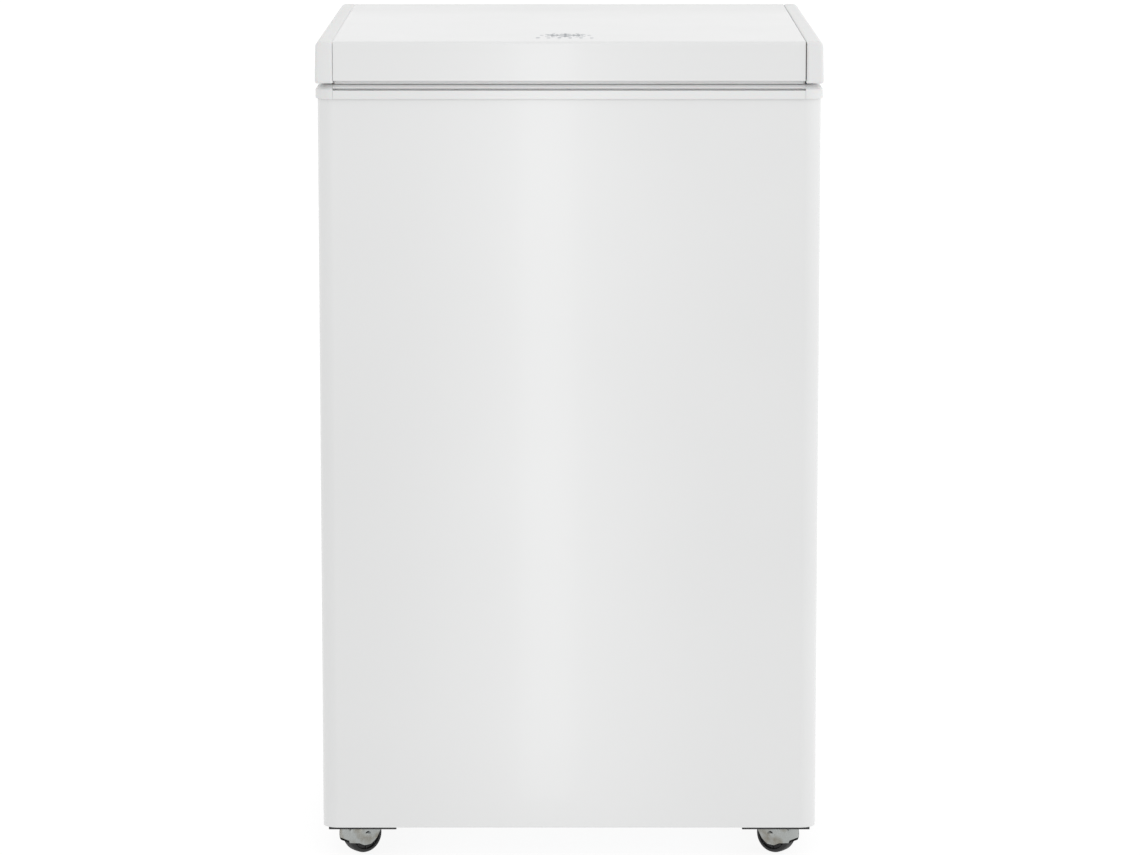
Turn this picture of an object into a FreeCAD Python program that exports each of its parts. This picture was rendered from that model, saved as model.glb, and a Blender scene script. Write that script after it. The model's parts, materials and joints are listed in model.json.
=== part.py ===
import FreeCAD, Part
import math
import os
import re
import Sketcher
from FreeCAD import Placement, Rotation, Vector

# A compact chest freezer on four swivel casters, in millimetres.
# Origin: middle of the footprint, on the floor. +X is the freezer's left-to-right, +Y is its back, +Z is up.

os.makedirs("parts", exist_ok=True)
doc = FreeCAD.newDocument("ChestFreezer")

# ---------------------------------------------------------------- driving dimensions
DIMENSIONS = {
    # cabinet
    "cabinet_half": 255.0,
    "cabinet_front": 270.0,
    "cabinet_back": 258.0,
    "cabinet_bottom": 36.0,
    "corner_radius": 16.0,
    "sheet": 0.8,
    "wrap_top": 796.0,
    "rear_flange": 12.0,
    # rim round the mouth
    "rim_bottom": 791.4,
    "rim_top": 806.0,
    "rim_proud": 2.0,
    "rim_wall": 1.8,
    "rim_groove": 800.3,
    "rim_shelf": 800.0,
    "rim_shelf_width": 14.7,
    # inner tank
    "tank_half": 198.0,
    "tank_front": 212.0,
    "tank_back": 204.0,
    "tank_floor": 108.0,
    "step_front": 17.0,
    "step_top": 345.0,
    "tank_corner": 22.0,
    "tank_edge": 12.0,
    "tank_gauge": 0.8,
    # compressor bay
    "bay_half": 200.0,
    "bay_front": 68.0,
    "bay_top": 290.0,
    "tray_top": 52.0,
    "tray_gauge": 1.0,
    "tray_flange": 8.5,
    "foam_lap": 4.0,
    # lid
    "lid_half": 240.5,
    "lid_front": 272.5,
    "lid_back": 258.5,
    "lid_bottom": 809.7,
    "lid_top": 849.8,
    "lid_edge": 4.0,
    "lid_gauge": 0.7,
    "lid_hem": 14.0,
    "cap_outer": 257.0,
    "cap_front": 274.0,
    "cap_back": 259.5,
    "cap_bottom": 807.4,
    "cap_top": 850.0,
    "plug_half": 184.0,
    "plug_front": 200.0,
    "plug_back": 192.0,
    "plug_bottom": 792.0,
    "panel_gauge": 1.5,
    "gasket_outer": 229.0,
    "gasket_width": 14.0,
    # hinges
    "hinge_offset": 160.0,
    "hinge_half": 22.0,
    "pin_back": 267.0,
    "pin_height": 806.0,
    "pin_radius": 3.0,
    "knuckle_radius": 6.0,
    "running_gap": 0.05,
    "leaf_gauge": 2.0,
    "leaf_height": 54.0,
    "ear_gauge": 2.5,
    "arm_knuckle": 10.0,
    "screw_radius": 2.1,
    "screw_head": 3.8,
    "base_screws_apart": 12.0,
    "arm_screws_apart": 10.0,
    # rails and casters
    "rail_inner": 179.0,
    "rail_outer": 249.0,
    "rail_top": 51.0,
    "rail_gauge": 2.0,
    "rail_front": 265.0,
    "rail_back": 250.0,
    "lip_bottom": 33.0,
    "lip_notch": 9.0,
    "wheel_radius": 20.0,
    "wheel_half": 8.4,
    "trail": 12.0,
    "fork_radius": 22.5,
    "fork_half": 10.5,
    "fork_gauge": 1.2,
    "fork_top": 43.0,
    "axle_radius": 3.0,
    "kingpin_radius": 4.0,
    "kingpin_head": 6.0,
    "race_radius": 13.0,
    "boss_radius": 11.0,
    "plate_half": 20.0,
    "plate_reach": 26.0,
    "plate_gauge": 2.0,
    "rivet_head": 4.6,
    "swivel_offset": 226.0,
    "swivel_front": 232.8,
    "swivel_back": 221.0,
    # refrigeration
    "evaporator_radius": 4.0,
    "condenser_radius": 2.4,
    "suction_radius": 3.5,
    "discharge_radius": 2.6,
    "capillary_radius": 1.2,
    "drier_radius": 9.0,
    "drier_neck": 3.0,
    "drier_across": -160.0,
    "drier_depth": 110.0,
    "drier_bottom": 120.0,
    "drier_top": 228.0,
    "compressor_radius": 68.0,
    "compressor_offset": -40.0,
    "compressor_depth": 160.0,
    "compressor_bottom": 72.0,
    "compressor_seam": 138.0,
    "compressor_top": 222.0,
    "mount_height": 16.0,
    "mount_radius": 11.0,
    "mount_across": 66.0,
    "mount_along": 50.0,
    "mount_neck": 5.0,
    "bolt_radius": 3.0,
    # cover over the bay
    "cover_half": 236.0,
    "cover_gauge": 1.2,
    "field_left": 188.0,
    "field_right": 120.0,
    "field_bottom": 62.0,
    "field_top": 276.0,
    "field_depth": 16.0,
    "field_wall": 8.0,
    "slot_length": 76.0,
    "slot_height": 5.0,
    "slot_bottom": 86.0,
    "slot_rise": 162.0,
    "control_across": 165.0,
    "knob_height": 236.0,
    "knob_radius": 15.0,
    "spindle_radius": 3.0,
    "thermostat_depth": 36.0,
    "inlet_height": 92.0,
    "inlet_radius": 3.8,
    "gland_radius": 6.0,
    # basket
    "basket_half": 178.0,
    "basket_front": 6.0,
    "basket_back": 190.0,
    "basket_bottom": 560.0,
    "basket_top": 784.0,
    "basket_wire": 3.0,
    "hook_stand_off": 15.0,
    "hook_reach": 7.0,
    "hook_gauge": 3.5,
    "hook_width": 5.0,
    "hook_inset": 30.0,
    # drain
    "drain_front": 120.0,
    "drain_radius": 8.0,
    "drain_bore": 6.0,
}


def make_sheet():
    """Puts the driving dimensions into a spreadsheet, one alias a row."""
    sheet = doc.addObject("Spreadsheet::Sheet", "Sizes")
    for row, (alias, number) in enumerate(DIMENSIONS.items(), start=1):
        sheet.set(f"A{row}", alias)
        sheet.set(f"B{row}", str(number))
        sheet.setAlias(f"B{row}", alias)
    doc.recompute()
    return sheet


sizes = make_sheet()
pieces = []


def bound(text):
    """An expression over the sheet: every alias in the text gets the sheet's name."""
    def cell(word):
        return "Sizes." + word[0] if word[0] in DIMENSIONS else word[0]

    return re.sub(r"[a-z_]{4,}", cell, str(text))


def value(text):
    """The number that an expression over the sheet has now."""
    return float(sizes.evalExpression(bound(text)))


# ---------------------------------------------------------------- tools for bodies
class Piece:
    """One sub-part made as a PartDesign body."""

    def __init__(self, label):
        self.body = doc.addObject("PartDesign::Body", label)
        self.body.Label = label
        self.label = label
        self.count = 0

    def name(self, kind):
        self.count += 1
        return f"{self.label}_{kind}_{self.count}"

    def sketch(self, plane, offset):
        origin_plane = [item for item in self.body.Origin.OriginFeatures if item.Role == plane][0]
        sketch = self.body.newObject("Sketcher::SketchObject", self.name("sketch"))
        sketch.AttachmentSupport = [(origin_plane, "")]
        sketch.MapMode = "FlatFace"
        sketch.setExpression("AttachmentOffset.Base.z", bound(offset))
        return sketch

    def place(self, sketch, geometry, point, position):
        """Ties a point of the sketch to an expression for each of its two coordinates."""
        for kind, text in zip(("DistanceX", "DistanceY"), position):
            index = sketch.addConstraint(Sketcher.Constraint(kind, -1, 1, geometry, point, value(text)))
            sketch.setExpression(f"Constraints[{index}]", bound(text))

    def outline(self, plane, offset, *loops):
        """A sketch of closed polygons, every corner tied to the sheet."""
        sketch = self.sketch(plane, offset)
        for loop in loops:
            first = sketch.GeometryCount
            corners = [Vector(value(a), value(b), 0) for a, b in loop]
            for start, end in zip(corners, corners[1:] + corners[:1]):
                sketch.addGeometry(Part.LineSegment(start, end), False)
            for index, corner in enumerate(loop):
                following = first + (index + 1) % len(loop)
                sketch.addConstraint(Sketcher.Constraint("Coincident", first + index, 2, following, 1))
                self.place(sketch, first + index, 1, corner)
        return sketch

    def circles(self, plane, offset, *rounds):
        """A sketch of circles, each given as x, y and radius."""
        sketch = self.sketch(plane, offset)
        for across, up, radius in rounds:
            index = sketch.addGeometry(
                Part.Circle(Vector(value(across), value(up), 0), Vector(0, 0, 1), value(radius)), False)
            self.place(sketch, index, 3, (across, up))
            rule = sketch.addConstraint(Sketcher.Constraint("Radius", index, value(radius)))
            sketch.setExpression(f"Constraints[{rule}]", bound(radius))
        return sketch

    def extrude(self, kind, sketch, length, back, both):
        feature = self.body.newObject("PartDesign::" + kind, self.name(kind.lower()))
        feature.Profile = sketch
        feature.setExpression("Length", bound(length))
        feature.Reversed = back
        feature.SideType = "Symmetric" if both else "One side"
        doc.recompute()
        return feature

    def pad(self, sketch, length, back=False, both=False):
        return self.extrude("Pad", sketch, length, back, both)

    def pocket(self, sketch, length, back=False, both=False):
        before = self.body.Shape.Volume
        feature = self.extrude("Pocket", sketch, length, back, both)
        if self.body.Shape.Volume > before - 0.01:
            raise RuntimeError(f"{feature.Name} cuts nothing")
        return feature

    def turn(self, sketch, kind="Revolution", angle=360.0, axis="V_Axis"):
        feature = self.body.newObject("PartDesign::" + kind, self.name(kind.lower()))
        feature.Profile = sketch
        feature.ReferenceAxis = (sketch, [axis])
        feature.Angle = angle
        doc.recompute()
        return feature

    def dress(self, kind, size, wanted):
        """A fillet or chamfer on the edges that the rule picks."""
        tip = self.body.Tip
        names = [f"Edge{i}" for i, edge in enumerate(tip.Shape.Edges, start=1) if wanted(edge)]
        feature = self.body.newObject("PartDesign::" + kind, self.name(kind.lower()))
        feature.Base = (tip, names)
        feature.setExpression("Radius" if kind == "Fillet" else "Size", bound(size))
        doc.recompute()
        return feature

    def shell(self, size, opened, outward=False):
        """Hollows the body to a wall, leaving out the faces that the rule picks."""
        tip = self.body.Tip
        names = [f"Face{i}" for i, face in enumerate(tip.Shape.Faces, start=1) if opened(face)]
        feature = self.body.newObject("PartDesign::Thickness", self.name("shell"))
        feature.Base = (tip, names)
        feature.setExpression("Value", bound(size))
        feature.Reversed = not outward
        doc.recompute()
        return feature

    def repeat(self, feature, axis, length, count):
        """A row of copies of a feature along an axis of its own sketch."""
        row = self.body.newObject("PartDesign::LinearPattern", self.name("row"))
        row.Originals = [feature]
        row.Direction = (feature.Profile[0], [axis])
        row.setExpression("Length", bound(length))
        row.Occurrences = count
        self.body.Tip = row
        doc.recompute()
        return row

    def done(self, position=None, turned=0.0):
        if position is not None:
            self.body.Placement = Placement(Vector(*[value(text) for text in position]),
                                            Rotation(Vector(0, 0, 1), turned))
        doc.recompute()
        pieces.append(self.body)
        return self.body


def keep(item, label):
    """Registers any other document object as a sub-part."""
    item.Label = label
    doc.recompute()
    pieces.append(item)
    return item


def rectangle(left, near, right, far):
    return [(left, near), (right, near), (right, far), (left, far)]


def clipped_rectangle(half, front, back, radius):
    """A rectangle whose corners follow a quarter circle in two chords."""
    corners = []
    for across, along, turned in ((1, "back", 0), (-1, "back", 90), (-1, "front", 180), (1, "front", 270)):
        depth = f"({back} - {radius})" if along == "back" else f"-({front} - {radius})"
        for step in (0, 45, 90):
            angle = math.radians(turned + step)
            corners.append((f"{across}*({half} - {radius}) + {round(math.cos(angle), 4)}*{radius}",
                            f"{depth} + {round(math.sin(angle), 4)}*{radius}"))
    return corners


def upright(edge):
    return abs(edge.tangentAt(edge.FirstParameter).z) > 0.999


def lengthwise(edge):
    """A rule for the straight edges that run left to right."""
    return abs(edge.tangentAt(edge.FirstParameter).x) > 0.999


def lies_at(**level):
    """A rule for the faces or edges that lie flat at one level, such as z=790."""
    (axis, place), = level.items()

    def rule(item):
        box = item.BoundBox
        low, high = getattr(box, axis.upper() + "Min"), getattr(box, axis.upper() + "Max")
        return abs(low - value(place)) < 0.01 and abs(high - value(place)) < 0.01
    return rule


def block(label, half, front, back, bottom, top, radius=None):
    """A block, symmetric left to right, with rounded upright edges."""
    piece = Piece(label)
    sketch = piece.outline("XY_Plane", bottom, rectangle(f"-({half})", front, half, back))
    piece.pad(sketch, f"{top} - ({bottom})")
    if radius is not None:
        piece.dress("Fillet", radius, upright)
    return piece


# ---------------------------------------------------------------- tools for tubes
def corner_arc(before, corner, after, radius):
    """The tangent arc that rounds one corner of a tube's route."""
    toward, onward = (before - corner).normalize(), (after - corner).normalize()
    half = toward.getAngle(onward) / 2
    reach = radius / math.tan(half)
    middle = (toward + onward).normalize() * (radius / math.sin(half) - radius)
    return Part.Arc(corner + toward * reach, corner + middle, corner + onward * reach)


def route(points, bend):
    """A wire of straight runs joined by tangent arcs."""
    edges = []
    last = points[0]
    for before, corner, after in zip(points, points[1:], points[2:]):
        arc = corner_arc(before, corner, after, bend)
        edges.append(Part.LineSegment(last, arc.StartPoint).toShape())
        edges.append(arc.toShape())
        last = arc.EndPoint
    edges.append(Part.LineSegment(last, points[-1]).toShape())
    return Part.Wire(edges)


def swept(wire, start, direction, radius):
    """A round bar along a wire."""
    profile = Part.Wire([Part.makeCircle(radius, start, direction)])
    return wire.makePipeShell([profile], True, False)


def bar(points, bend, radius):
    points = [Vector(*point) for point in points]
    return swept(route(points, bend), points[0], points[1] - points[0], radius)


def feature(label, shape):
    item = doc.addObject("Part::Feature", label)
    item.Shape = shape
    item.Placement = Placement()
    return keep(item, label)


# ---------------------------------------------------------------- cabinet
def cabinet_wrap():
    """Painted sheet folded round the front and sides, with a flange each side at the back."""
    piece = block("cabinet_wrap", "cabinet_half", "-cabinet_front", "cabinet_back",
                  "cabinet_bottom", "wrap_top", "corner_radius")
    top, bottom = lies_at(z="wrap_top"), lies_at(z="cabinet_bottom")
    piece.shell("sheet", lambda face: top(face) or bottom(face))
    mouth = "cabinet_half - corner_radius - rear_flange"
    rear = piece.outline("XZ_Plane", "-(cabinet_back + sheet)", rectangle(
        f"-({mouth})", "cabinet_bottom - sheet", mouth, "rim_bottom - rear_flange"))
    piece.pocket(rear, "3*sheet", back=True)
    return piece.done()


def rear_panel():
    """Flat sheet that closes the back above the compressor bay."""
    half = "cover_half"
    piece = Piece("rear_panel")
    sketch = piece.outline("XZ_Plane", "-cabinet_back", rectangle(
        f"-({half})", "bay_top + 1", half, "rim_bottom - 1"))
    piece.pad(sketch, "sheet", back=True)
    return piece.done()


def base_tray():
    """Pressed tray under the foam, flanged down all round."""
    inside = "(sheet + 0.4)"
    piece = block("base_tray", f"cabinet_half - {inside}", f"-(cabinet_front - {inside})",
                  f"cabinet_back - {inside}", "tray_top - tray_flange", "tray_top", "corner_radius - 1")
    piece.shell("tray_gauge", lies_at(z="tray_top - tray_flange"))
    drain_hole(piece, "tray_top", "10")
    return piece.done()


def drain_hole(piece, level, length):
    """Cuts the drain's hole upward, from a little below a level."""
    hole = piece.circles("XY_Plane", f"{level} - 5", ("0", "-drain_front", "drain_radius"))
    piece.pocket(hole, length, back=True)


def tank(label, grow, top):
    """The stepped shape of the food space, grown outward by a wall."""
    piece = Piece(label)
    side = [
        (f"-(tank_front + {grow})", f"tank_floor - {grow}"),
        (f"step_front + {grow}", f"tank_floor - {grow}"),
        (f"step_front + {grow}", f"step_top - {grow}"),
        (f"tank_back + {grow}", f"step_top - {grow}"),
        (f"tank_back + {grow}", top),
        (f"-(tank_front + {grow})", top),
    ]
    piece.pad(piece.outline("YZ_Plane", "0", side), f"2*(tank_half + {grow})", both=True)
    piece.dress("Fillet", f"tank_corner + {grow}", upright)
    return piece


def liner():
    """Tank sheet, open at the top, stepped over the compressor bay."""
    piece = tank("liner", "0", "rim_shelf - rim_wall")
    piece.dress("Fillet", "tank_edge", lies_at(z="tank_floor"))
    piece.shell("tank_gauge", lies_at(z="rim_shelf - rim_wall"), outward=True)
    drain_hole(piece, "tank_floor", "10")
    return piece.done()


# Heights of the cold coil's turns beside the compressor bay and above it.
LOW_TURNS = [150.0, 215.0, 280.0]
HIGH_TURNS = [400.0, 480.0, 560.0, 640.0, 720.0]


def evaporator_route():
    """Corners of the cold coil that is wound round the outside of the tank, from the bottom up."""
    gap = value("tank_gauge + evaporator_radius + 0.3")
    side, near = value("tank_half") + gap, -value("tank_front") - gap
    low_back, high_back = value("step_front") + gap, value("tank_back") + gap
    points = [(-side, low_back, LOW_TURNS[0] - 12)]
    for level in LOW_TURNS + HIGH_TURNS:
        back = low_back if level in LOW_TURNS else high_back
        points += [(-side, near, level), (side, near, level), (side, back, level), (-side, back, level)]
    return points[:-1] + [(0.0, high_back, HIGH_TURNS[-1])]


def evaporator_tube():
    return feature("evaporator_tube", bar(evaporator_route(), value("tank_corner + 4"),
                                          value("evaporator_radius")))


# The hot tube's upright passes along each side of the cabinet.
HOT_PASSES = [-200.0, -130.0, -60.0, 10.0, 80.0, 150.0, 215.0]
HOT_ENDS = (110.0, 740.0)
HOT_BEND = 30.0


def condenser_tube():
    """Hot tube pressed against the inside of each side sheet, in upright passes."""
    radius = value("condenser_radius")
    across = value("cabinet_half - sheet") - radius - 0.2
    solids = []
    for side in (-1, 1):
        points = []
        for number, along in enumerate(HOT_PASSES):
            ends = HOT_ENDS if number % 2 == 0 else HOT_ENDS[::-1]
            points += [(side * across, along, end) for end in ends]
        solids.append(bar(points, HOT_BEND, radius))
    return feature("condenser_tube", Part.makeCompound(solids))


def ring_of_blocks(fronts, low, high):
    """Limits of the eight blocks round a hollow: the hollow's corners lie in the corner blocks."""
    far = "(cabinet_half + 1)"
    straight = "(tank_half - tank_corner)"
    acrosses = [(f"-{far}", f"-{straight}"), (f"-{straight}", straight), (straight, far)]
    return [(*across, *along, low, high) for i, across in enumerate(acrosses)
            for j, along in enumerate(zip(fronts, fronts[1:])) if (i, j) != (1, 1)]


def foam_blocks():
    """Limits of the blocks that the foam is divided into, so that each one is close to convex."""
    far, straight = "(cabinet_half + 1)", "-(tank_front - tank_corner)"
    front, back = "-(cabinet_front + 1)", "(cabinet_back + 1)"
    floor, edge_top = "(tank_floor - tank_gauge)", "(tank_floor + tank_edge)"
    step, base, top = "(step_top - tank_gauge)", "(tray_top - 1)", "(rim_top)"
    low_fronts = [front, straight, "(step_front - tank_corner)", "bay_front"]
    high_fronts = [front, straight, "(tank_back - tank_corner)", back]
    beside_bay = [(f"-{far}", "-bay_half"), ("bay_half", far)]
    return [
        (f"-{far}", far, front, "bay_front", base, floor),
        *ring_of_blocks(low_fronts, floor, edge_top),
        *ring_of_blocks(low_fronts, edge_top, step),
        *[(*across, "bay_front", back, base, "bay_top") for across in beside_bay],
        (f"-{far}", far, "bay_front", back, "bay_top", step),
        *ring_of_blocks(high_fronts, step, top),
    ]


def divided(whole, label, blocks):
    """A group of the parts of a solid that lie in each block."""
    parts = []
    for number, (left, right, near, away, low, high) in enumerate(blocks):
        box = doc.addObject("Part::Box", f"{label}_box_{number}")
        box.setExpression("Length", bound(f"{right} - ({left})"))
        box.setExpression("Width", bound(f"{away} - ({near})"))
        box.setExpression("Height", bound(f"{high} - {low}"))
        for axis, place in (("x", left), ("y", near), ("z", low)):
            box.setExpression(f".Placement.Base.{axis}", bound(place))
        part = doc.addObject("Part::Common", f"{label}_{number}")
        part.Base = whole
        part.Tool = box
        parts.append(part)
    group = doc.addObject("Part::Compound", label)
    group.Links = parts
    return group


def insulation_foam(coil, hot_tube, sensor):
    """Foam between the sheets, with the tank, the compressor bay and the tubes left out of it."""
    piece = block("insulation_foam_block", "cabinet_half - sheet", "-(cabinet_front - sheet)",
                  "cabinet_back - sheet", "tray_top", "rim_bottom - foam_lap", "corner_radius - sheet")
    crown = "(sheet + rim_wall)"
    upper = piece.outline("XY_Plane", "rim_bottom - 5", clipped_rectangle(
        f"(cabinet_half - {crown})", f"(cabinet_front - {crown})", f"(cabinet_back - {crown})",
        f"(corner_radius - {crown})"))
    piece.pad(upper, "rim_shelf - rim_wall - 0.2 - (rim_bottom - 5)")
    bay = piece.outline("XY_Plane", "tray_top - 1", rectangle(
        "-bay_half", "bay_front", "bay_half", "cabinet_back + 5"))
    piece.pocket(bay, "bay_top - tray_top + 1", back=True)
    drain_hole(piece, "tray_top", "100")
    hollow = tank("tank_hollow", "tank_gauge", "rim_top + 20")
    hollow.dress("Fillet", "tank_edge + tank_gauge", lies_at(z="tank_floor - tank_gauge"))
    opened = doc.addObject("Part::Cut", "foam_opened")
    opened.Base = piece.body
    opened.Tool = hollow.body
    grooves = doc.addObject("Part::Compound", "foam_grooves")
    grooves.Links = [coil, hot_tube, sensor]
    whole = doc.addObject("Part::Cut", "foam_whole")
    whole.Base = opened
    whole.Tool = grooves
    return keep(divided(whole, "insulation_foam", foam_blocks()), "insulation_foam")


def drain_tube():
    """Drain through the floor, with a collar on the tank floor."""
    piece = Piece("drain_tube")
    piece.pad(piece.circles("XY_Plane", "tray_top - 6", ("0", "-drain_front", "drain_radius")),
              "tank_floor - tray_top + 6")
    piece.pad(piece.circles("XY_Plane", "tank_floor", ("0", "-drain_front", "drain_radius + 5")), "1.2")
    piece.pocket(piece.circles("XY_Plane", "tray_top - 8", ("0", "-drain_front", "drain_bore")),
                 "80", back=True)
    return piece.done()


def drain_plug():
    """Plug with a finger grip that closes the drain from inside the tank."""
    piece = Piece("drain_plug")
    piece.pad(piece.circles("XY_Plane", "tank_floor - 12", ("0", "-drain_front", "drain_bore - 0.1")), "14")
    piece.pad(piece.circles("XY_Plane", "tank_floor + 1.5", ("0", "-drain_front", "drain_radius + 4")), "2.5")
    grip = piece.outline("XY_Plane", "tank_floor + 4", rectangle(
        "-8", "-drain_front - 1.5", "8", "-drain_front + 1.5"))
    piece.pad(grip, "9")
    piece.dress("Fillet", "1.2", lambda edge: edge.BoundBox.ZMin > value("tank_floor + 12"))
    return piece.done()


# ---------------------------------------------------------------- rim
def rim_section():
    """Outline of the rim extrusion: how far each corner stands out from the cabinet, and its height."""
    return [
        ("rim_proud", "rim_bottom"), ("rim_proud", "rim_groove"), ("0.6", "rim_groove"),
        ("0.6", "rim_groove + 1.5"), ("1.5", "rim_groove + 1.5"), ("-4.8", "rim_top"),
        ("-(rim_inner - rim_shelf_width)", "rim_top"), ("-(rim_inner - rim_shelf_width)", "rim_shelf"),
        ("-rim_inner", "rim_shelf"), ("-rim_inner", "rim_shelf - rim_wall"),
        ("-(rim_inner - rim_shelf_width - rim_wall)", "rim_shelf - rim_wall"),
        ("-(rim_inner - rim_shelf_width - rim_wall)", "rim_top - rim_wall"),
        ("-6", "rim_top - rim_wall"), ("-(sheet + rim_wall)", "rim_groove + 1.6"),
        ("-(sheet + rim_wall)", "rim_bottom - foam_lap"), ("-sheet", "rim_bottom - foam_lap"),
        ("-sheet", "wrap_top"), ("0", "wrap_top"), ("0", "rim_bottom"),
    ]


def rim_bar(label, side):
    """One straight rim extrusion with its lip inside the tank; side is front, back, left or right."""
    piece = Piece(label)
    face, tank_face = {
        "front": ("cabinet_front", "tank_front"), "back": ("cabinet_back", "tank_back"),
        "left": ("cabinet_half", "tank_half"), "right": ("cabinet_half", "tank_half"),
    }[side]
    inner = f"({face} - {tank_face} + 1.7)"
    sign = "-1" if side in ("front", "left") else "1"
    plane = "YZ_Plane" if side in ("front", "back") else "XZ_Plane"
    corners = [(f"{sign}*({face} + ({out.replace('rim_inner', inner)}))", up) for out, up in rim_section()]
    piece.pad(piece.outline(plane, "0", corners), "2*cabinet_front", both=True)
    lip = rectangle(f"{sign}*({face} - {inner})", "rim_shelf - 14",
                    f"{sign}*({face} - {inner} + 1.5)", "rim_shelf - rim_wall")
    short = "tank_half" if plane == "YZ_Plane" else "tank_back"
    piece.pad(piece.outline(plane, "0", lip), f"2*({short} - tank_corner - 2)", both=True)
    mitre_ends(piece, side)
    return piece.done()


def mitre_ends(piece, side):
    """Cuts the two ends along the diagonal of each corner, square across the corner moulding."""
    over = "40"
    across = {"x": ("tank_half - 1.7", "cabinet_half - corner_radius"),
              "front": ("tank_front - 1.7", "cabinet_front - corner_radius"),
              "back": ("tank_back - 1.7", "cabinet_back - corner_radius")}
    for x_sign in (-1, 1):
        for depth in ("front", "back"):
            if side in ("front", "back") and depth != side:
                continue
            if side == "left" and x_sign > 0 or side == "right" and x_sign < 0:
                continue
            y_sign = -1 if depth == "front" else 1
            inner_x, corner_x = across["x"]
            inner_y, corner_y = across[depth]
            in_point = (f"{x_sign}*({inner_x})", f"{y_sign}*({inner_y})")
            out_point = (f"{x_sign}*({corner_x})", f"{y_sign}*({corner_y})")
            if side in ("front", "back"):
                waste = [in_point, out_point,
                         (f"{x_sign}*({corner_x})", f"{y_sign}*({corner_y} + {over})"),
                         (f"{x_sign}*(cabinet_half + {over})", f"{y_sign}*({corner_y} + {over})"),
                         (f"{x_sign}*(cabinet_half + {over})", f"{y_sign}*({inner_y} - {over})"),
                         (f"{x_sign}*({inner_x})", f"{y_sign}*({inner_y} - {over})")]
            else:
                waste = [in_point, out_point,
                         (f"{x_sign}*({corner_x} + {over})", f"{y_sign}*({corner_y})"),
                         (f"{x_sign}*({corner_x} + {over})", f"{y_sign}*(cabinet_front + {over})"),
                         (f"{x_sign}*({inner_x} - {over})", f"{y_sign}*(cabinet_front + {over})"),
                         (f"{x_sign}*({inner_x} - {over})", f"{y_sign}*({inner_y})")]
            piece.pocket(piece.outline("XY_Plane", "0", waste), "2000", both=True)


def rim_corners():
    """Four moulded corner pieces that join the rim bars, each a quarter turn about the cabinet's corner."""
    solids = []
    for number, (x_sign, y_sign, turned) in enumerate(((-1, -1, 180), (1, -1, 270), (1, 1, 0), (-1, 1, 90))):
        piece = Piece(f"rim_corner_{number}")
        outer, skin = "(corner_radius + rim_proud)", "corner_radius"
        profile = [
            (skin, "rim_bottom"), (outer, "rim_bottom"), (outer, "rim_groove + 0.4"),
            (f"{outer} - 0.5", "rim_groove + 1.6"), ("corner_radius - 4.8", "rim_top"), ("0.01", "rim_top"),
            ("0.01", "rim_shelf"), ("corner_radius - sheet - rim_wall", "rim_shelf"),
            ("corner_radius - sheet - rim_wall", "rim_bottom - foam_lap"),
            ("corner_radius - sheet", "rim_bottom - foam_lap"),
            ("corner_radius - sheet", "wrap_top"), (skin, "wrap_top"),
        ]
        piece.turn(piece.outline("XZ_Plane", "0", profile), angle=90.0)
        depth = "cabinet_front" if y_sign < 0 else "cabinet_back"
        across, along = value("cabinet_half - corner_radius"), value(f"{depth} - corner_radius")
        piece.body.Placement = Placement(Vector(x_sign * across, y_sign * along, 0),
                                         Rotation(Vector(0, 0, 1), turned))
        solids.append(piece.body)
    group = doc.addObject("Part::Compound", "rim_corners")
    group.Links = solids
    return keep(group, "rim_corners")


# ---------------------------------------------------------------- rails under the base
def base_rail(label, side):
    """Black channel, open downward, with a stepped lip in front; it carries one front and one rear caster."""
    piece = Piece(label)
    outer, inner = f"{side}*rail_outer", f"{side}*rail_inner"
    wall = f"{side}*rail_gauge"
    flange = "rail_top - 7"
    section = [
        (outer, flange), (outer, "rail_top"), (inner, "rail_top"), (inner, flange),
        (f"{inner} + {wall}", flange), (f"{inner} + {wall}", "rail_top - rail_gauge"),
        (f"{outer} - {wall}", "rail_top - rail_gauge"), (f"{outer} - {wall}", flange),
    ]
    channel = piece.outline("XZ_Plane", "rail_front - 6", section)
    piece.pad(channel, "rail_front - 6 + rail_back", back=True)
    neck = f"{outer} - {side}*lip_notch"
    step = "rail_top - tray_flange + 0.7"
    lip = piece.outline("XZ_Plane", "rail_front", [
        (inner, "lip_bottom"), (outer, "lip_bottom"), (outer, step), (neck, step), (neck, "rail_top"),
        (inner, "rail_top")])
    piece.pad(lip, "rail_gauge", back=True)
    web = piece.outline("XZ_Plane", "rail_front", rectangle(inner, "rail_top - rail_gauge", neck, "rail_top"))
    piece.pad(web, "8", back=True)
    return piece.done()


# ---------------------------------------------------------------- casters
CASTERS = {
    "front_left": (-1, "-swivel_front", -55.0),
    "front_right": (1, "-swivel_front", 55.0),
    "rear_left": (-1, "swivel_back", -38.0),
    "rear_right": (1, "swivel_back", 47.0),
}


def caster_plates():
    """Top plates with the lower bearing race and the riveted kingpin, one at each corner."""
    solids = []
    for name, (side, along, _) in CASTERS.items():
        piece = Piece(f"caster_plate_{name}")
        top = "rail_top - rail_gauge"
        plate = rectangle("-plate_half", "-plate_reach", "plate_half", "plate_reach")
        piece.pad(piece.outline("XY_Plane", f"{top} - plate_gauge", plate), "plate_gauge")
        piece.dress("Fillet", "5", upright)
        race_bottom = "fork_top + 0.4"
        race = piece.circles("XY_Plane", race_bottom, ("0", "0", "race_radius"))
        piece.pad(race, f"{top} - 1 - {race_bottom}")
        piece.pad(piece.circles("XY_Plane", "fork_top - 3", ("0", "0", "kingpin_radius")), "5")
        piece.pad(piece.circles("XY_Plane", "fork_top - 3.4", ("0", "0", "kingpin_head")), "1.5")
        piece.body.Placement = Placement(Vector(side * value("swivel_offset"), value(along), 0), Rotation())
        solids.append(piece.body)
    group = doc.addObject("Part::Compound", "caster_plates")
    group.Links = solids
    return keep(group, "caster_plates")


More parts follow.
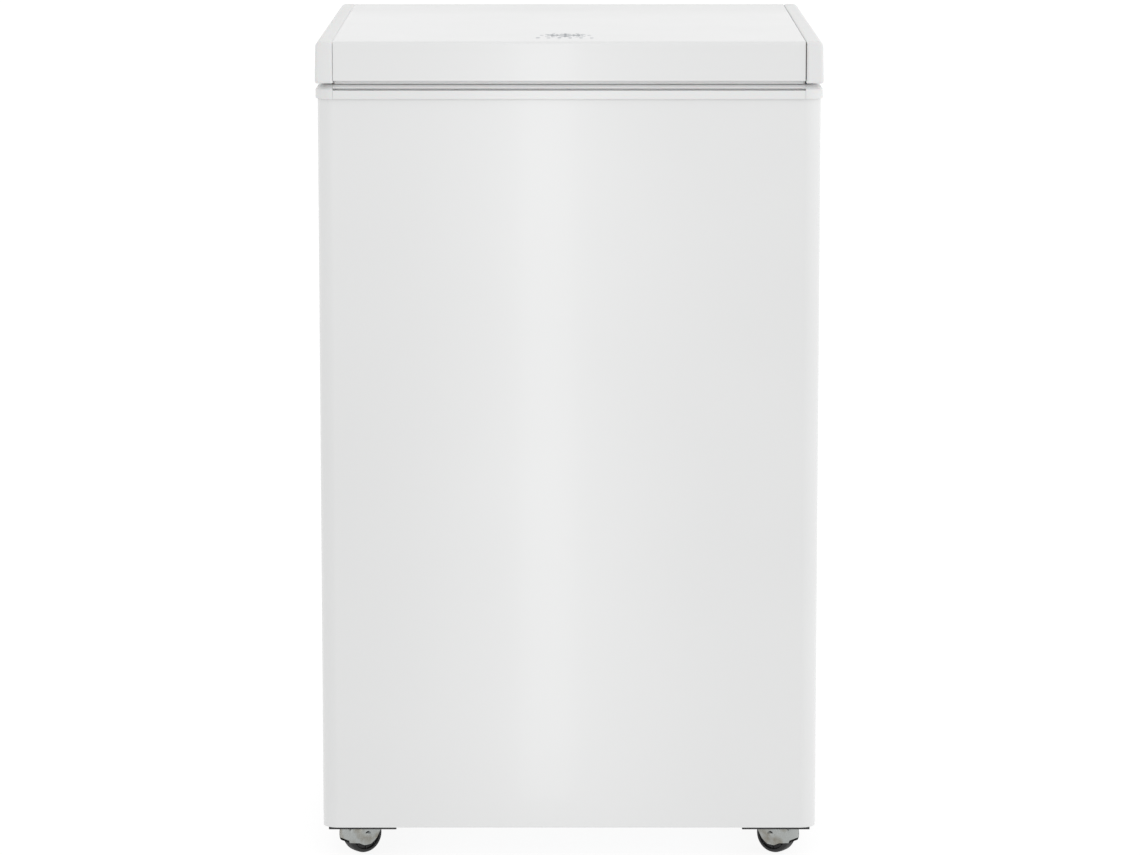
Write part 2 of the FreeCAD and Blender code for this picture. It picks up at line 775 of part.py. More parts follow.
def caster_fork(name):
    """Pressed hood that covers the wheel's top and leading side, with a cheek on each side of it."""
    piece = Piece(f"caster_hood_{name}")
    wheel = ("trail", "wheel_radius")
    piece.pad(piece.circles("YZ_Plane", "0", (*wheel, "fork_radius")), "2*fork_half", both=True)
    below = [("trail - 40", "-5"), ("trail - 40", "wheel_radius - 7"), ("trail - 10", "wheel_radius - 9"),
             ("trail - 3", "wheel_radius - 13"), ("trail + 4", "wheel_radius - 13"),
             ("trail + 10", "wheel_radius - 8"), ("trail + 13", "wheel_radius"),
             ("trail + 12", "fork_top + 5"), ("trail + 40", "fork_top + 5"), ("trail + 40", "-5")]
    piece.pocket(piece.outline("YZ_Plane", "0", below), "60", both=True)
    piece.pad(piece.circles("XY_Plane", "wheel_radius + 14", ("0", "0", "boss_radius")),
              "fork_top - wheel_radius - 14")
    room = "fork_radius - fork_gauge"
    piece.pocket(piece.circles("YZ_Plane", "0", (*wheel, room)), "2*(fork_half - fork_gauge)", both=True)
    piece.pocket(piece.circles("XY_Plane", "fork_top + 5", ("0", "0", "kingpin_radius + running_gap")), "14")
    piece.pocket(piece.circles("XY_Plane", "fork_top - 1.6", ("0", "0", "kingpin_head + 0.3")), "9")
    piece.pocket(piece.circles("YZ_Plane", "0", (*wheel, "axle_radius")), "60", both=True)
    return piece


def caster_axle(name):
    """Riveted axle through both cheeks."""
    piece = Piece(f"caster_axle_{name}")
    wheel = ("trail", "wheel_radius")
    piece.pad(piece.circles("YZ_Plane", "0", (*wheel, "axle_radius")), "2*fork_half", both=True)
    piece.pad(piece.circles("YZ_Plane", "fork_half", (*wheel, "rivet_head")), "fork_gauge")
    piece.pad(piece.circles("YZ_Plane", "-fork_half", (*wheel, "rivet_head")), "fork_gauge", back=True)
    return piece


def caster_wheel(name):
    """Black wheel: a crowned tread, dished sides and a hub that runs on the axle."""
    piece = Piece(f"caster_wheel_{name}")
    wheel = ("trail", "wheel_radius")
    piece.pad(piece.circles("YZ_Plane", "0", (*wheel, "wheel_radius")), "2*wheel_half", both=True)
    piece.dress("Fillet", "2.5", lambda edge: edge.Curve.TypeId == "Part::GeomCircle")
    for side in (-1, 1):
        dish = piece.circles("YZ_Plane", f"{side}*(wheel_half + 0.1)",
                             (*wheel, "wheel_radius - 4"), (*wheel, "axle_radius + 3.5"))
        piece.pocket(dish, "2.1", back=side < 0)
    piece.pocket(piece.circles("YZ_Plane", "0", (*wheel, "axle_radius + running_gap")), "60", both=True)
    return piece


def casters():
    for name, (side, along, turned) in CASTERS.items():
        place = (f"{side}*swivel_offset", along, "0")
        for make in (caster_fork, caster_axle, caster_wheel):
            make(name).done(place, turned)


# ---------------------------------------------------------------- lid
def lid_skin():
    """Painted sheet folded over the top, front and back of the lid, open at its two ends."""
    piece = block("lid_skin", "lid_half", "-lid_front", "lid_back", "lid_bottom", "lid_top")
    middle = value("(lid_top + lid_bottom)/2")
    piece.dress("Fillet", "lid_edge", lambda edge: lengthwise(edge) and edge.BoundBox.ZMin > middle)
    piece.dress("Fillet", "2*lid_gauge", lambda edge: lengthwise(edge) and edge.BoundBox.ZMax < middle)
    piece.shell("lid_gauge", lambda face: abs(abs(face.CenterOfMass.x) - value("lid_half")) < 0.01)
    opening = piece.outline("XY_Plane", "lid_bottom - 1", rectangle(
        "-(lid_half + 5)", "-(lid_front - lid_hem)", "lid_half + 5", "lid_back - lid_hem"))
    piece.pocket(opening, "3", back=True)
    return piece.done()


def cap_profile(side, inset, lean, shrink):
    """Outline of an end cap, from the seam outward: inset narrows its top, shrink draws its edges in."""
    outer, low, high = f"cap_outer - {shrink}", f"cap_bottom + {shrink}", f"cap_top - {shrink}"
    points = [
        ("lid_half", low), (f"{outer} - 3", low), (f"{outer} - 1", f"{low} + 0.9"), (outer, f"{low} + 3"),
        (f"{outer} - {lean}", f"{high} - 16"), (f"{outer} - {inset}*0.45", f"{high} - 7"),
        (f"{outer} - {inset}*0.75", f"{high} - 2.6"), (f"{outer} - {inset}", f"{high} - 0.6"),
        (f"{outer} - {inset} - 1.6", high), ("lid_half", high),
    ]
    return [(f"{side}*({across})", up) for across, up in points]


def lid_end_cap(label, side):
    """Moulded cap on one end of the lid; its top narrows toward the back and its two ends are softened."""
    piece = Piece(label)
    narrow_front, narrow_back = ("4.6", "0.8"), ("8", "1.6")
    sections = [
        ("cap_front", cap_profile(side, *narrow_front, "1.6")),
        ("cap_front - 1.8", cap_profile(side, *narrow_front, "0")),
        ("-(cap_back - 1.8)", cap_profile(side, *narrow_back, "0")),
        ("-cap_back", cap_profile(side, *narrow_back, "1.6")),
    ]
    sketches = [piece.outline("XZ_Plane", place, outline) for place, outline in sections]
    loft = piece.body.newObject("PartDesign::AdditiveLoft", piece.name("loft"))
    loft.Profile = sketches[0]
    loft.Sections = sketches[1:]
    loft.Ruled = True
    doc.recompute()
    return piece.done()


def ring_loops(outer, width):
    """Two nested rectangles round the mouth: outer is the half width of the outer one."""
    front_more, back_more = "tank_front - tank_half", "tank_back - tank_half"
    loops = []
    for edge in (outer, f"({outer} - {width})"):
        loops.append(rectangle(f"-{edge}", f"-({edge} + {front_more})", edge, f"{edge} + {back_more}"))
    return loops


def lid_inner_panel():
    """Moulded inner panel: flange, plug that dips into the mouth, and the channel for the seal."""
    flange = "lid_bottom + lid_gauge"
    inset = "(lid_gauge + 0.3)"
    piece = block("lid_inner_panel", "lid_half - 0.3", f"-(lid_front - {inset} - 1)",
                  f"lid_back - {inset} - 1", flange, f"{flange} + panel_gauge")
    plug = piece.outline("XY_Plane", "plug_bottom", rectangle(
        "-plug_half", "-plug_front", "plug_half", "plug_back"))
    piece.pad(plug, f"{flange} + panel_gauge - plug_bottom")
    piece.dress("Fillet", "18", lambda edge: upright(edge) and edge.BoundBox.ZMin < value("plug_bottom + 1"))
    piece.dress("Fillet", "4", lies_at(z="plug_bottom"))
    hollow = piece.outline("XY_Plane", "plug_bottom + panel_gauge", rectangle(
        "-(plug_half - 5)", "-(plug_front - 5)", "plug_half - 5", "plug_back - 5"))
    piece.pocket(hollow, "60", back=True)
    ridge = piece.outline("XY_Plane", flange, *ring_loops("(gasket_outer - 3.5)", "7"))
    piece.pad(ridge, "8")
    channel = piece.outline("XY_Plane", f"{flange} - 1", *ring_loops("(gasket_outer - 5)", "4"))
    piece.pocket(channel, "7.5", back=True)
    return piece.done()


def lid_gasket():
    """Soft seal: a flat bulb that meets the rim, and the dart that holds it in its channel."""
    piece = Piece("lid_gasket")
    flange = "lid_bottom + lid_gauge"
    bulb = piece.outline("XY_Plane", "rim_top + 0.3", *ring_loops("gasket_outer", "gasket_width"))
    piece.pad(bulb, f"{flange} - rim_top - 0.3")
    dart = piece.outline("XY_Plane", flange, *ring_loops("(gasket_outer - 5.5)", "3"))
    piece.pad(dart, "5")
    return piece.done()


def lid_foam():
    """Foam that fills the lid between the skin and the inner panel."""
    flange = "lid_bottom + lid_gauge"
    piece = block("lid_foam", "lid_half", "-(lid_front - lid_gauge)", "lid_back - lid_gauge",
                  f"{flange} + panel_gauge", "lid_top - lid_gauge")
    piece.dress("Fillet", "lid_edge - lid_gauge",
                lambda edge: lengthwise(edge) and edge.BoundBox.ZMin > value("lid_top - 1"))
    fill = piece.outline("XY_Plane", "plug_bottom + panel_gauge", rectangle(
        "-(plug_half - 5)", "-(plug_front - 5)", "plug_half - 5", "plug_back - 5"))
    piece.pad(fill, "40")
    groove = piece.outline("XY_Plane", flange, *ring_loops("(gasket_outer - 3.5)", "7"))
    piece.pocket(groove, "8", back=True)
    return piece.done()


BADGE_PLACE = (-4.0, -197.0)


def lid_badge():
    """Generic frost mark printed on the lid: three crossed bars in a ring of dots."""
    centre = Vector(*BADGE_PLACE, value("lid_top"))
    up = Vector(0, 0, 1)
    thick = value("cap_top - lid_top")
    reach, half_bar = 22.0, 1.3
    dots, dot_ring, dot = 6, 29.0, 2.0
    bars = []
    for turned in (30, 90, 150):
        arm = Part.makeBox(2 * reach, 2 * half_bar, thick, centre - Vector(reach, half_bar, 0))
        arm.rotate(centre, up, turned)
        bars.append(arm)
    solids = [bars[0].fuse(bars[1:]).removeSplitter()]
    for number in range(dots):
        angle = 2 * math.pi * number / dots
        offset = Vector(dot_ring * math.cos(angle), dot_ring * math.sin(angle), 0)
        solids.append(Part.makeCylinder(dot, thick, centre + offset, up))
    return feature("lid_badge", Part.makeCompound(solids))


# ---------------------------------------------------------------- hinges
# How far the screws lie under the rim and under the lid's top.
BASE_SCREWS_DOWN = (14.0, 42.0)
ARM_SCREWS_DOWN = (11.0, 24.0)


def hinge_base(label, side):
    """Leaf screwed to the back of the cabinet, with two ears that carry the pin."""
    piece = Piece(label)
    middle = f"{side}*hinge_offset"
    back = "cabinet_back + sheet"
    leaf_top = "rim_bottom - 1"
    ear_bottom = f"{leaf_top} - leaf_height + 5"
    leaf = piece.outline("XZ_Plane", f"-({back})", rectangle(
        f"{middle} - hinge_half", f"{leaf_top} - leaf_height", f"{middle} + hinge_half", leaf_top))
    piece.pad(leaf, "leaf_gauge", back=True)
    ear = [(back, ear_bottom), (f"{back} + 2*leaf_gauge", ear_bottom),
           ("pin_back + knuckle_radius", "rim_bottom - 8"), ("pin_back + knuckle_radius", "pin_height"),
           ("pin_back - knuckle_radius", "pin_height"), ("pin_back - knuckle_radius", leaf_top),
           (back, leaf_top)]
    for end in ("-1", "1"):
        place = f"{middle} + {end}*(hinge_half - ear_gauge/2)"
        piece.pad(piece.outline("YZ_Plane", place, ear), "ear_gauge", both=True)
        knuckle = piece.circles("YZ_Plane", place, ("pin_back", "pin_height", "knuckle_radius"))
        piece.pad(knuckle, "ear_gauge", both=True)
    piece.pocket(piece.circles("YZ_Plane", middle, ("pin_back", "pin_height", "pin_radius")), "3*hinge_half",
                 both=True)
    holes = piece.circles("XZ_Plane", f"-({back})", *[
        (f"{middle} + {end}*base_screws_apart", f"rim_bottom - {down}", "screw_radius + 0.1")
        for end in (-1, 1) for down in BASE_SCREWS_DOWN])
    piece.pocket(holes, "5*leaf_gauge", both=True)
    return piece.done()


def hinge_arm(label, side):
    """Leaf on the back of the lid, with two knuckles that turn on the pin."""
    piece = Piece(label)
    middle = f"{side}*hinge_offset"
    leaf_half = "hinge_half - 4"
    leaf = piece.outline("XZ_Plane", "-lid_back", rectangle(
        f"{middle} - ({leaf_half})", "pin_height + 5", f"{middle} + {leaf_half}", "lid_top - 5"))
    piece.pad(leaf, "leaf_gauge", back=True)
    web = [("lid_back", "pin_height + 2.5"), ("lid_back", "pin_height + 12"),
           ("lid_back + leaf_gauge", "pin_height + 12"),
           ("pin_back + 4", "pin_height + 4"), ("pin_back", "pin_height"), ("pin_back - 4", "pin_height + 1")]
    for end in ("-1", "1"):
        place = f"{middle} + {end}*(hinge_half - ear_gauge - 0.3 - arm_knuckle/2)"
        piece.pad(piece.outline("YZ_Plane", place, web), "arm_knuckle", both=True)
        knuckle = piece.circles("YZ_Plane", place, ("pin_back", "pin_height", "knuckle_radius"))
        piece.pad(knuckle, "arm_knuckle", both=True)
    piece.pocket(piece.circles("YZ_Plane", middle, ("pin_back", "pin_height", "pin_radius + running_gap")),
                 "3*hinge_half", both=True)
    holes = piece.circles("XZ_Plane", "-lid_back", *[
        (f"{middle} + {end}*arm_screws_apart", f"lid_top - {down}", "screw_radius + 0.1")
        for end in (-1, 1) for down in ARM_SCREWS_DOWN])
    piece.pocket(holes, "5*leaf_gauge", both=True)
    return piece.done()


def hinge_pins():
    """Headed pins held in the ears."""
    solids = []
    back, height, radius = value("pin_back"), value("pin_height"), value("pin_radius")
    half, across = value("hinge_half"), Vector(1, 0, 0)
    head_radius, head = radius + 1.8, 1.5
    for side in (-1, 1):
        start = Vector(side * value("hinge_offset") - half, back, height)
        pin = Part.makeCylinder(radius, 2 * half, start, across)
        heads = [Part.makeCylinder(head_radius, head, start - across * head, across),
                 Part.makeCylinder(head_radius, head, start + across * 2 * half, across)]
        solids.append(pin.fuse(heads).removeSplitter())
    return feature("hinge_pins", Part.makeCompound(solids))


def hinge_springs():
    """Coils of the torsion springs, wound round the pins between the knuckles."""
    solids = []
    back, height = value("pin_back"), value("pin_height")
    coil_radius, wire, pitch, turns = 4.7, 0.7, 1.9, 7
    for side in (-1, 1):
        start = Vector(side * value("hinge_offset") - pitch * turns / 2, back, height)
        helix = Part.makeHelix(pitch, pitch * turns, coil_radius)
        helix.rotate(Vector(0, 0, 0), Vector(0, 0, 1), 90)
        helix.rotate(Vector(0, 0, 0), Vector(0, 1, 0), 90)
        helix.translate(start)
        edge = helix.Edges[0]
        first = edge.valueAt(edge.FirstParameter)
        profile = Part.Wire([Part.makeCircle(wire, first, edge.tangentAt(edge.FirstParameter))])
        solids.append(Part.Wire(helix.Edges).makePipeShell([profile], True, True))
    return feature("hinge_springs", Part.makeCompound(solids))


def screw(place, shank, length):
    """A pan-head screw that enters a back face from behind, with its head on that face."""
    rearward = Vector(0, 1, 0)
    height = 1.8
    head = Part.makeCylinder(value("screw_head"), height, place, rearward)
    rim = [edge for edge in head.Edges if edge.Closed and (edge.CenterOfMass - place).Length > height / 2]
    head = head.makeFillet(height / 2, rim)
    return head.fuse(Part.makeCylinder(shank, length, place - rearward * length, rearward))


def leaf_screws(label, face, apart, top, downs):
    """The screws of both leaves on one side of the hinges."""
    back = value(face) + value("leaf_gauge")
    solids = [screw(Vector(side * value("hinge_offset") + end * value(apart), back, value(top) - down),
                    value("screw_radius"), value("leaf_gauge"))
              for side in (-1, 1) for end in (-1, 1) for down in downs]
    return feature(label, Part.makeCompound(solids))


# ---------------------------------------------------------------- compressor bay
def compressor_shell():
    """Welded steel can of the compressor: domed top and bottom, with the seam between them."""
    piece = Piece("compressor_shell")
    low, seam, high = "compressor_bottom", "compressor_seam", "compressor_top"
    wide = "compressor_radius"
    profile = [("0", low), (f"{wide} - 22", low), (f"{wide} - 6", f"{low} + 8"), (wide, f"{low} + 24"),
               (wide, seam), (f"{wide} + 3", seam), (f"{wide} + 3", f"{seam} + 3"),
               (f"{wide} - 1", f"{seam} + 3"),
               (f"{wide} - 1", f"{high} - 46"), (f"{wide} - 9", f"{high} - 22"),
               (f"{wide} - 28", f"{high} - 6"), ("0", high)]
    piece.turn(piece.outline("XZ_Plane", "0", profile))
    return piece.done(("compressor_offset", "compressor_depth", "0"))


def compressor_feet():
    """Pressed plate welded under the can, with a hole at each corner for its rubber mount."""
    piece = Piece("compressor_feet")
    half, reach = "(mount_across + 12)", "(mount_along + 12)"
    plate = rectangle(f"-{half}", f"-{reach}", half, reach)
    piece.pad(piece.outline("XY_Plane", "tray_top + mount_height", plate), "4")
    piece.dress("Fillet", "12", upright)
    holes = piece.circles("XY_Plane", "0", *[(f"{x}*mount_across", f"{y}*mount_along", "mount_neck")
                                            for x in (-1, 1) for y in (-1, 1)])
    piece.pocket(holes, "400", both=True)
    return piece.done(("compressor_offset", "compressor_depth", "0"))


def mount_places():
    """Where the four rubber mounts stand on the tray."""
    across, along = value("mount_across"), value("mount_along")
    centre = Vector(value("compressor_offset"), value("compressor_depth"), value("tray_top"))
    return [centre + Vector(x * across, y * along, 0) for x in (-1, 1) for y in (-1, 1)]


def compressor_mounts():
    """Waisted rubber mounts between the tray and the plate."""
    solids = []
    up, height, bore = Vector(0, 0, 1), value("mount_height"), value("bolt_radius + 0.2")
    for place in mount_places():
        body = Part.makeCylinder(value("mount_radius"), height, place, up)
        neck = Part.makeCylinder(value("mount_neck"), height + 4.9, place, up)
        rubber = body.fuse([neck]).cut(Part.makeCylinder(bore, 2 * height + 8, place - up, up))
        solids.append(rubber.removeSplitter())
    return feature("compressor_mounts", Part.makeCompound(solids))


def compressor_bolts():
    """Bolts that hold the mounts down, each with a washer head."""
    solids = []
    up, reach = Vector(0, 0, 1), value("mount_height") + 5.1
    washer_gauge, hexagon, head_height = 1.5, 5.8, 4.5
    for place in mount_places():
        seat = place + up * reach
        shank = Part.makeCylinder(value("bolt_radius"), reach - 0.1, place + up * 0.1, up)
        washer = Part.makeCylinder(9, washer_gauge, seat, up)
        turns = [math.pi * k / 3 for k in range(7)]
        corners = [Vector(hexagon * math.cos(turn), hexagon * math.sin(turn), washer_gauge) for turn in turns]
        outline = Part.makePolygon([seat + corner for corner in corners])
        head = Part.Face(outline).extrude(up * head_height)
        solids.append(shank.fuse([washer, head]).removeSplitter())
    return feature("compressor_bolts", Part.makeCompound(solids))


def relay_cover():
    """Plastic box over the compressor's terminals."""
    piece = Piece("relay_cover")
    near, half = "compressor_radius + 4", "28"
    case = rectangle(near, f"-{half}", f"{near} + 34", half)
    piece.pad(piece.outline("XY_Plane", "compressor_bottom + 38", case), "62")
    piece.dress("Fillet", "4", lambda edge: edge.BoundBox.XMin > value("compressor_radius + 5"))
    return piece.done(("compressor_offset", "compressor_depth", "0"))


def filter_drier():
    """Copper drier with necked ends."""
    piece = Piece("filter_drier")
    low, high, neck, wide = "drier_bottom", "drier_top", "drier_neck", "drier_radius"
    profile = [("0", low), (neck, low), (neck, f"{low} + 6"), (wide, f"{low} + 14"), (wide, f"{high} - 14"),
               (neck, f"{high} - 6"), (neck, high), ("0", high)]
    piece.turn(piece.outline("XZ_Plane", "0", profile))
    return piece.done(("drier_across", "drier_depth", "0"))


def bay_tubes():
    """Copper pipes of the refrigeration circuit inside the compressor bay."""
    middle, depth, top = value("compressor_offset"), value("compressor_depth"), value("compressor_top") - 3
    front, drier, beside = value("bay_front"), value("drier_across"), value("drier_depth")
    near, far, level = middle - 30, -110, 252
    feature("suction_tube", bar([(near, depth, top), (near, depth, level), (near, 100, level),
                                 (far, 100, level), (far, front, level)], 12.0, value("suction_radius")))
    near, turn, far, level = middle + 30, 90, 150, 262
    feature("discharge_tube", bar([(near, depth, top), (near, depth, level), (turn, depth, level),
                                   (turn, 95, level), (far, 95, level), (far, front, level)],
                                  12.0, value("discharge_radius")))
    turn, far, level = -120, -90, 268
    feature("capillary_tube", bar([(drier, beside, value("drier_top") + 0.3), (drier, beside, level),
                                   (turn, beside, level), (turn, 84, level), (far, 84, level),
                                   (far, front, level)], 8.0, value("capillary_radius")))


SLOT_COLUMNS = (-168.0, -72.0, 24.0)
SLOT_ROWS = 10
COVER_SCREW_RADIUS = 1.8


def compressor_cover():
    """Louvred cover over the bay: a flat flange with a raised field of slots."""
    piece = Piece("compressor_cover")
    back, wall = "cabinet_back", "field_wall"
    flange = rectangle("-cover_half", "cabinet_bottom + 6", "cover_half", "bay_top")
    piece.pad(piece.outline("XZ_Plane", f"-({back})", flange), "cover_gauge", back=True)
    field = rectangle("-field_left", "field_bottom", "field_right", "field_top")
    piece.pad(piece.outline("XZ_Plane", f"-({back})", field), "field_depth", back=True)
    piece.dress("Fillet", wall, lambda edge: abs(edge.tangentAt(edge.FirstParameter).y) > 0.999
                and edge.BoundBox.YMax > value("cabinet_back + field_depth - 1"))
    piece.dress("Fillet", "3", lies_at(y="cabinet_back + field_depth"))
    hollow = rectangle(f"-(field_left - {wall})", f"field_bottom + {wall}", f"field_right - {wall}",
                       f"field_top - {wall}")
    piece.pocket(piece.outline("XZ_Plane", f"-({back} - 1)", hollow), "field_depth - 0.5", back=False)
    for left in SLOT_COLUMNS:
        slot = rectangle(f"{left}", "slot_bottom", f"{left} + slot_length", "slot_bottom + slot_height")
        cut = piece.pocket(piece.outline("XZ_Plane", f"-({back} + field_depth + 4)", slot), "8", back=True)
        piece.repeat(cut, "V_Axis", "slot_rise", SLOT_ROWS)
    for height, radius in (("knob_height", "spindle_radius + 0.6"), ("inlet_height", "gland_radius")):
        hole = piece.circles("XZ_Plane", f"-({back} - 2)", ("control_across", height, radius))
        piece.pocket(hole, "8", back=False)
    holes = piece.circles("XZ_Plane", f"-({back} - 2)", *[(f"{across}", f"{height}", f"{COVER_SCREW_RADIUS}")
                                                         for across, height in cover_screw_places()])
    piece.pocket(holes, "8", back=False)
    return piece.done()


def cover_screw_places():
    """Three screws down each edge of the cover."""
    return [(across, height) for across in (-228.0, 228.0) for height in (60.0, 168.0, 276.0)]


def cover_screws():
    """Screws that hold the louvred cover to the cabinet's back flanges."""
    back = value("cabinet_back + cover_gauge")
    solids = [screw(Vector(across, back, height), COVER_SCREW_RADIUS, 1.0)
              for across, height in cover_screw_places()]
    return feature("cover_screws", Part.makeCompound(solids))


def power_inlet_gland():
    """Bushing in the cover where a mains lead would enter; its bore is empty."""
    piece = Piece("power_inlet_gland")
    centre = ("control_across", "inlet_height")
    bore = (*centre, "inlet_radius")
    sleeve = piece.circles("XZ_Plane", "-(cabinet_back - 3)", (*centre, "gland_radius"), bore)
    piece.pad(sleeve, "6", back=True)
    collar = piece.circles("XZ_Plane", "-(cabinet_back + cover_gauge)", (*centre, "gland_radius + 3"), bore)
    piece.pad(collar, "4", back=True)
    return piece.done()


def thermostat_body():
    """Thermostat box behind the cover, with its spindle."""
    piece = Piece("thermostat_body")
    case = rectangle("control_across - 20", "knob_height - 16", "control_across + 20", "knob_height + 16")
    piece.pad(piece.outline("XZ_Plane", "-(cabinet_back - thermostat_depth)", case), "thermostat_depth - 0.5",
              back=True)
    spindle = ("control_across", "knob_height", "spindle_radius")
    piece.pad(piece.circles("XZ_Plane", "-(cabinet_back - 1)", spindle), "8", back=True)
    return piece.done()


def sensor_tube():
    """Thin tube from the thermostat to the outside of the tank."""
    reach, near = value("cabinet_back - thermostat_depth"), value("step_front + tank_gauge") + 3
    across, level = value("control_across"), value("knob_height")
    aside, turn = across - 25, 100
    return feature("sensor_tube", bar([(across, reach, level), (across, turn, level), (aside, turn, level),
                                       (aside, near, level)], 10.0, value("capillary_radius")))


def thermostat_knob():
    """Dial on the spindle, with a skirt."""
    piece = Piece("thermostat_knob")
    centre = ("control_across", "knob_height")
    skirt = piece.circles("XZ_Plane", "-(cabinet_back + 1.8)", (*centre, "knob_radius"))
    piece.pad(skirt, "4", back=True)
    grip = piece.circles("XZ_Plane", "-(cabinet_back + 5)", (*centre, "knob_radius - 2.5"))
    piece.pad(grip, "9", back=True)
    piece.dress("Chamfer", "0.8", lambda edge: edge.BoundBox.YMin > value("cabinet_back + 13"))
    bore = piece.circles("XZ_Plane", "-(cabinet_back + 1)", (*centre, "spindle_radius + running_gap"))
    piece.pocket(bore, "9", back=False)
    return piece.done()


# ---------------------------------------------------------------- basket
def grid_panel(label, plane, offset, left, low, width, height, columns, rows):
    """A flat panel of crossed bars, standing on one side of its plane."""
    piece = Piece(label)
    sheet = piece.outline(plane, offset, rectangle(left, low, f"{left} + {width}", f"{low} + {height}"))
    piece.pad(sheet, "basket_wire", back=plane == "XZ_Plane")
    across, up = f"(({width} - basket_wire)/{columns})", f"(({height} - basket_wire)/{rows})"
    column = [rectangle(f"{left} + basket_wire", f"{low} + basket_wire + {row}*{up}",
                        f"{left} + {across}", f"{low} + {row + 1}*{up}") for row in range(rows)]
    windows = piece.pocket(piece.outline(plane, offset, *column), "3*basket_wire", both=True)
    piece.repeat(windows, "H_Axis", f"{across}*{columns - 1}", columns)
    return piece.body


def basket_hook(label, side, along):
    """Strip that stands off the side of the basket and lies on the rim's inner shelf."""
    piece = Piece(label)
    stand_off, reach = "(basket_half + hook_stand_off)", "(tank_half + hook_reach)"
    under, over = "rim_shelf + 0.3", "rim_shelf + 0.3 + hook_gauge"
    outline = [
        ("basket_half", "basket_top - 6"), (stand_off, "basket_top + 3"), (stand_off, under), (reach, under),
        (reach, over), (f"{stand_off} - 4", over), (f"{stand_off} - 4", "basket_top + 5"),
        ("basket_half", "basket_top - 1"),
    ]
    corners = [(f"{side}*({across})", up) for across, up in outline]
    piece.pad(piece.outline("XZ_Plane", f"-({along})", corners), "hook_width", both=True)
    return piece.body


def basket():
    """Basket of five grid panels, with two hooks each side that lie on the rim's inner shelf."""
    width, depth, tall = "2*basket_half", "(basket_back - basket_front)", "(basket_top - basket_bottom)"
    thick = "basket_wire"
    wall_low, wall_height = f"basket_bottom + {thick}", f"({tall} - {thick})"
    between = (f"basket_front + {thick}", wall_low, f"({depth} - 2*{thick})", wall_height, 6, 7)
    wall = ("-basket_half", wall_low, width, wall_height, 12, 7)
    solids = [
        grid_panel("basket_floor", "XY_Plane", "basket_bottom", "-basket_half", "basket_front", width, depth,
                   12, 6),
        grid_panel("basket_front", "XZ_Plane", "-basket_front", *wall),
        grid_panel("basket_rear", "XZ_Plane", f"-(basket_back - {thick})", *wall),
        grid_panel("basket_left", "YZ_Plane", "-basket_half", *between),
        grid_panel("basket_right", "YZ_Plane", f"basket_half - {thick}", *between),
    ]
    for side in (-1, 1):
        for end, along in (("front", "basket_front + hook_inset"), ("rear", "basket_back - hook_inset")):
            solids.append(basket_hook(f"basket_hook_{end}_{side}", side, along))
    group = doc.addObject("Part::Compound", "basket")
    group.Links = solids
    return keep(group, "basket")


# ---------------------------------------------------------------- the whole freezer
def build():
    cabinet_wrap()
    rear_panel()
    base_tray()
    liner()
    coil = evaporator_tube()
    hot_tube = condenser_tube()
    sensor = sensor_tube()
    insulation_foam(coil, hot_tube, sensor)
    drain_tube()
    drain_plug()
    rim_bar("rim_front", "front")
    rim_bar("rim_rear", "back")
    rim_bar("rim_left", "left")
    rim_bar("rim_right", "right")
    rim_corners()
    base_rail("base_rail_left", -1)
    base_rail("base_rail_right", 1)
    caster_plates()
    casters()
    lid_skin()
    lid_end_cap("lid_end_cap_left", -1)
    lid_end_cap("lid_end_cap_right", 1)
    lid_inner_panel()
    lid_gasket()
    lid_foam()
    lid_badge()
    hinge_base("hinge_base_left", -1)
    hinge_base("hinge_base_right", 1)
    hinge_arm("hinge_arm_left", -1)
    hinge_arm("hinge_arm_right", 1)
    hinge_pins()
    hinge_springs()
    leaf_screws("hinge_screws", "cabinet_back + sheet", "base_screws_apart", "rim_bottom", BASE_SCREWS_DOWN)
    leaf_screws("lid_hinge_screws", "lid_back", "arm_screws_apart", "lid_top", ARM_SCREWS_DOWN)
    compressor_shell()
    compressor_feet()
    compressor_mounts()
    compressor_bolts()
    relay_cover()
    filter_drier()
    bay_tubes()
    compressor_cover()
    cover_screws()
    power_inlet_gland()
    thermostat_body()
    thermostat_knob()
    basket()


def export():
    """Checks every object of the document, then writes one file for each sub-part."""
    doc.recompute()
    for item in doc.Objects:
        if "Invalid" in item.State or "Error" in item.State:
            raise RuntimeError(f"{item.Label} failed: {item.State}")
    for item in pieces:
        if item.Shape.isNull() or not item.Shape.isValid():
            raise RuntimeError(f"{item.Label} has no valid shape")
    for item in pieces:
        item.Shape.exportStep(f"parts/{item.Label}.step")
        box = item.Shape.BoundBox
        print(f"{item.Label:24s} solids {len(item.Shape.Solids)}  volume {item.Shape.Volume / 1000:9.2f} cm3"
              f"  x {box.XMin:7.1f} {box.XMax:7.1f}  y {box.YMin:7.1f} {box.YMax:7.1f}"
              f"  z {box.ZMin:6.1f} {box.ZMax:6.1f}")
    print(len(pieces), "sub-parts")


build()
export()
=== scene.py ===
import json
import math

import bmesh
import bpy
from mathutils import Matrix, Vector


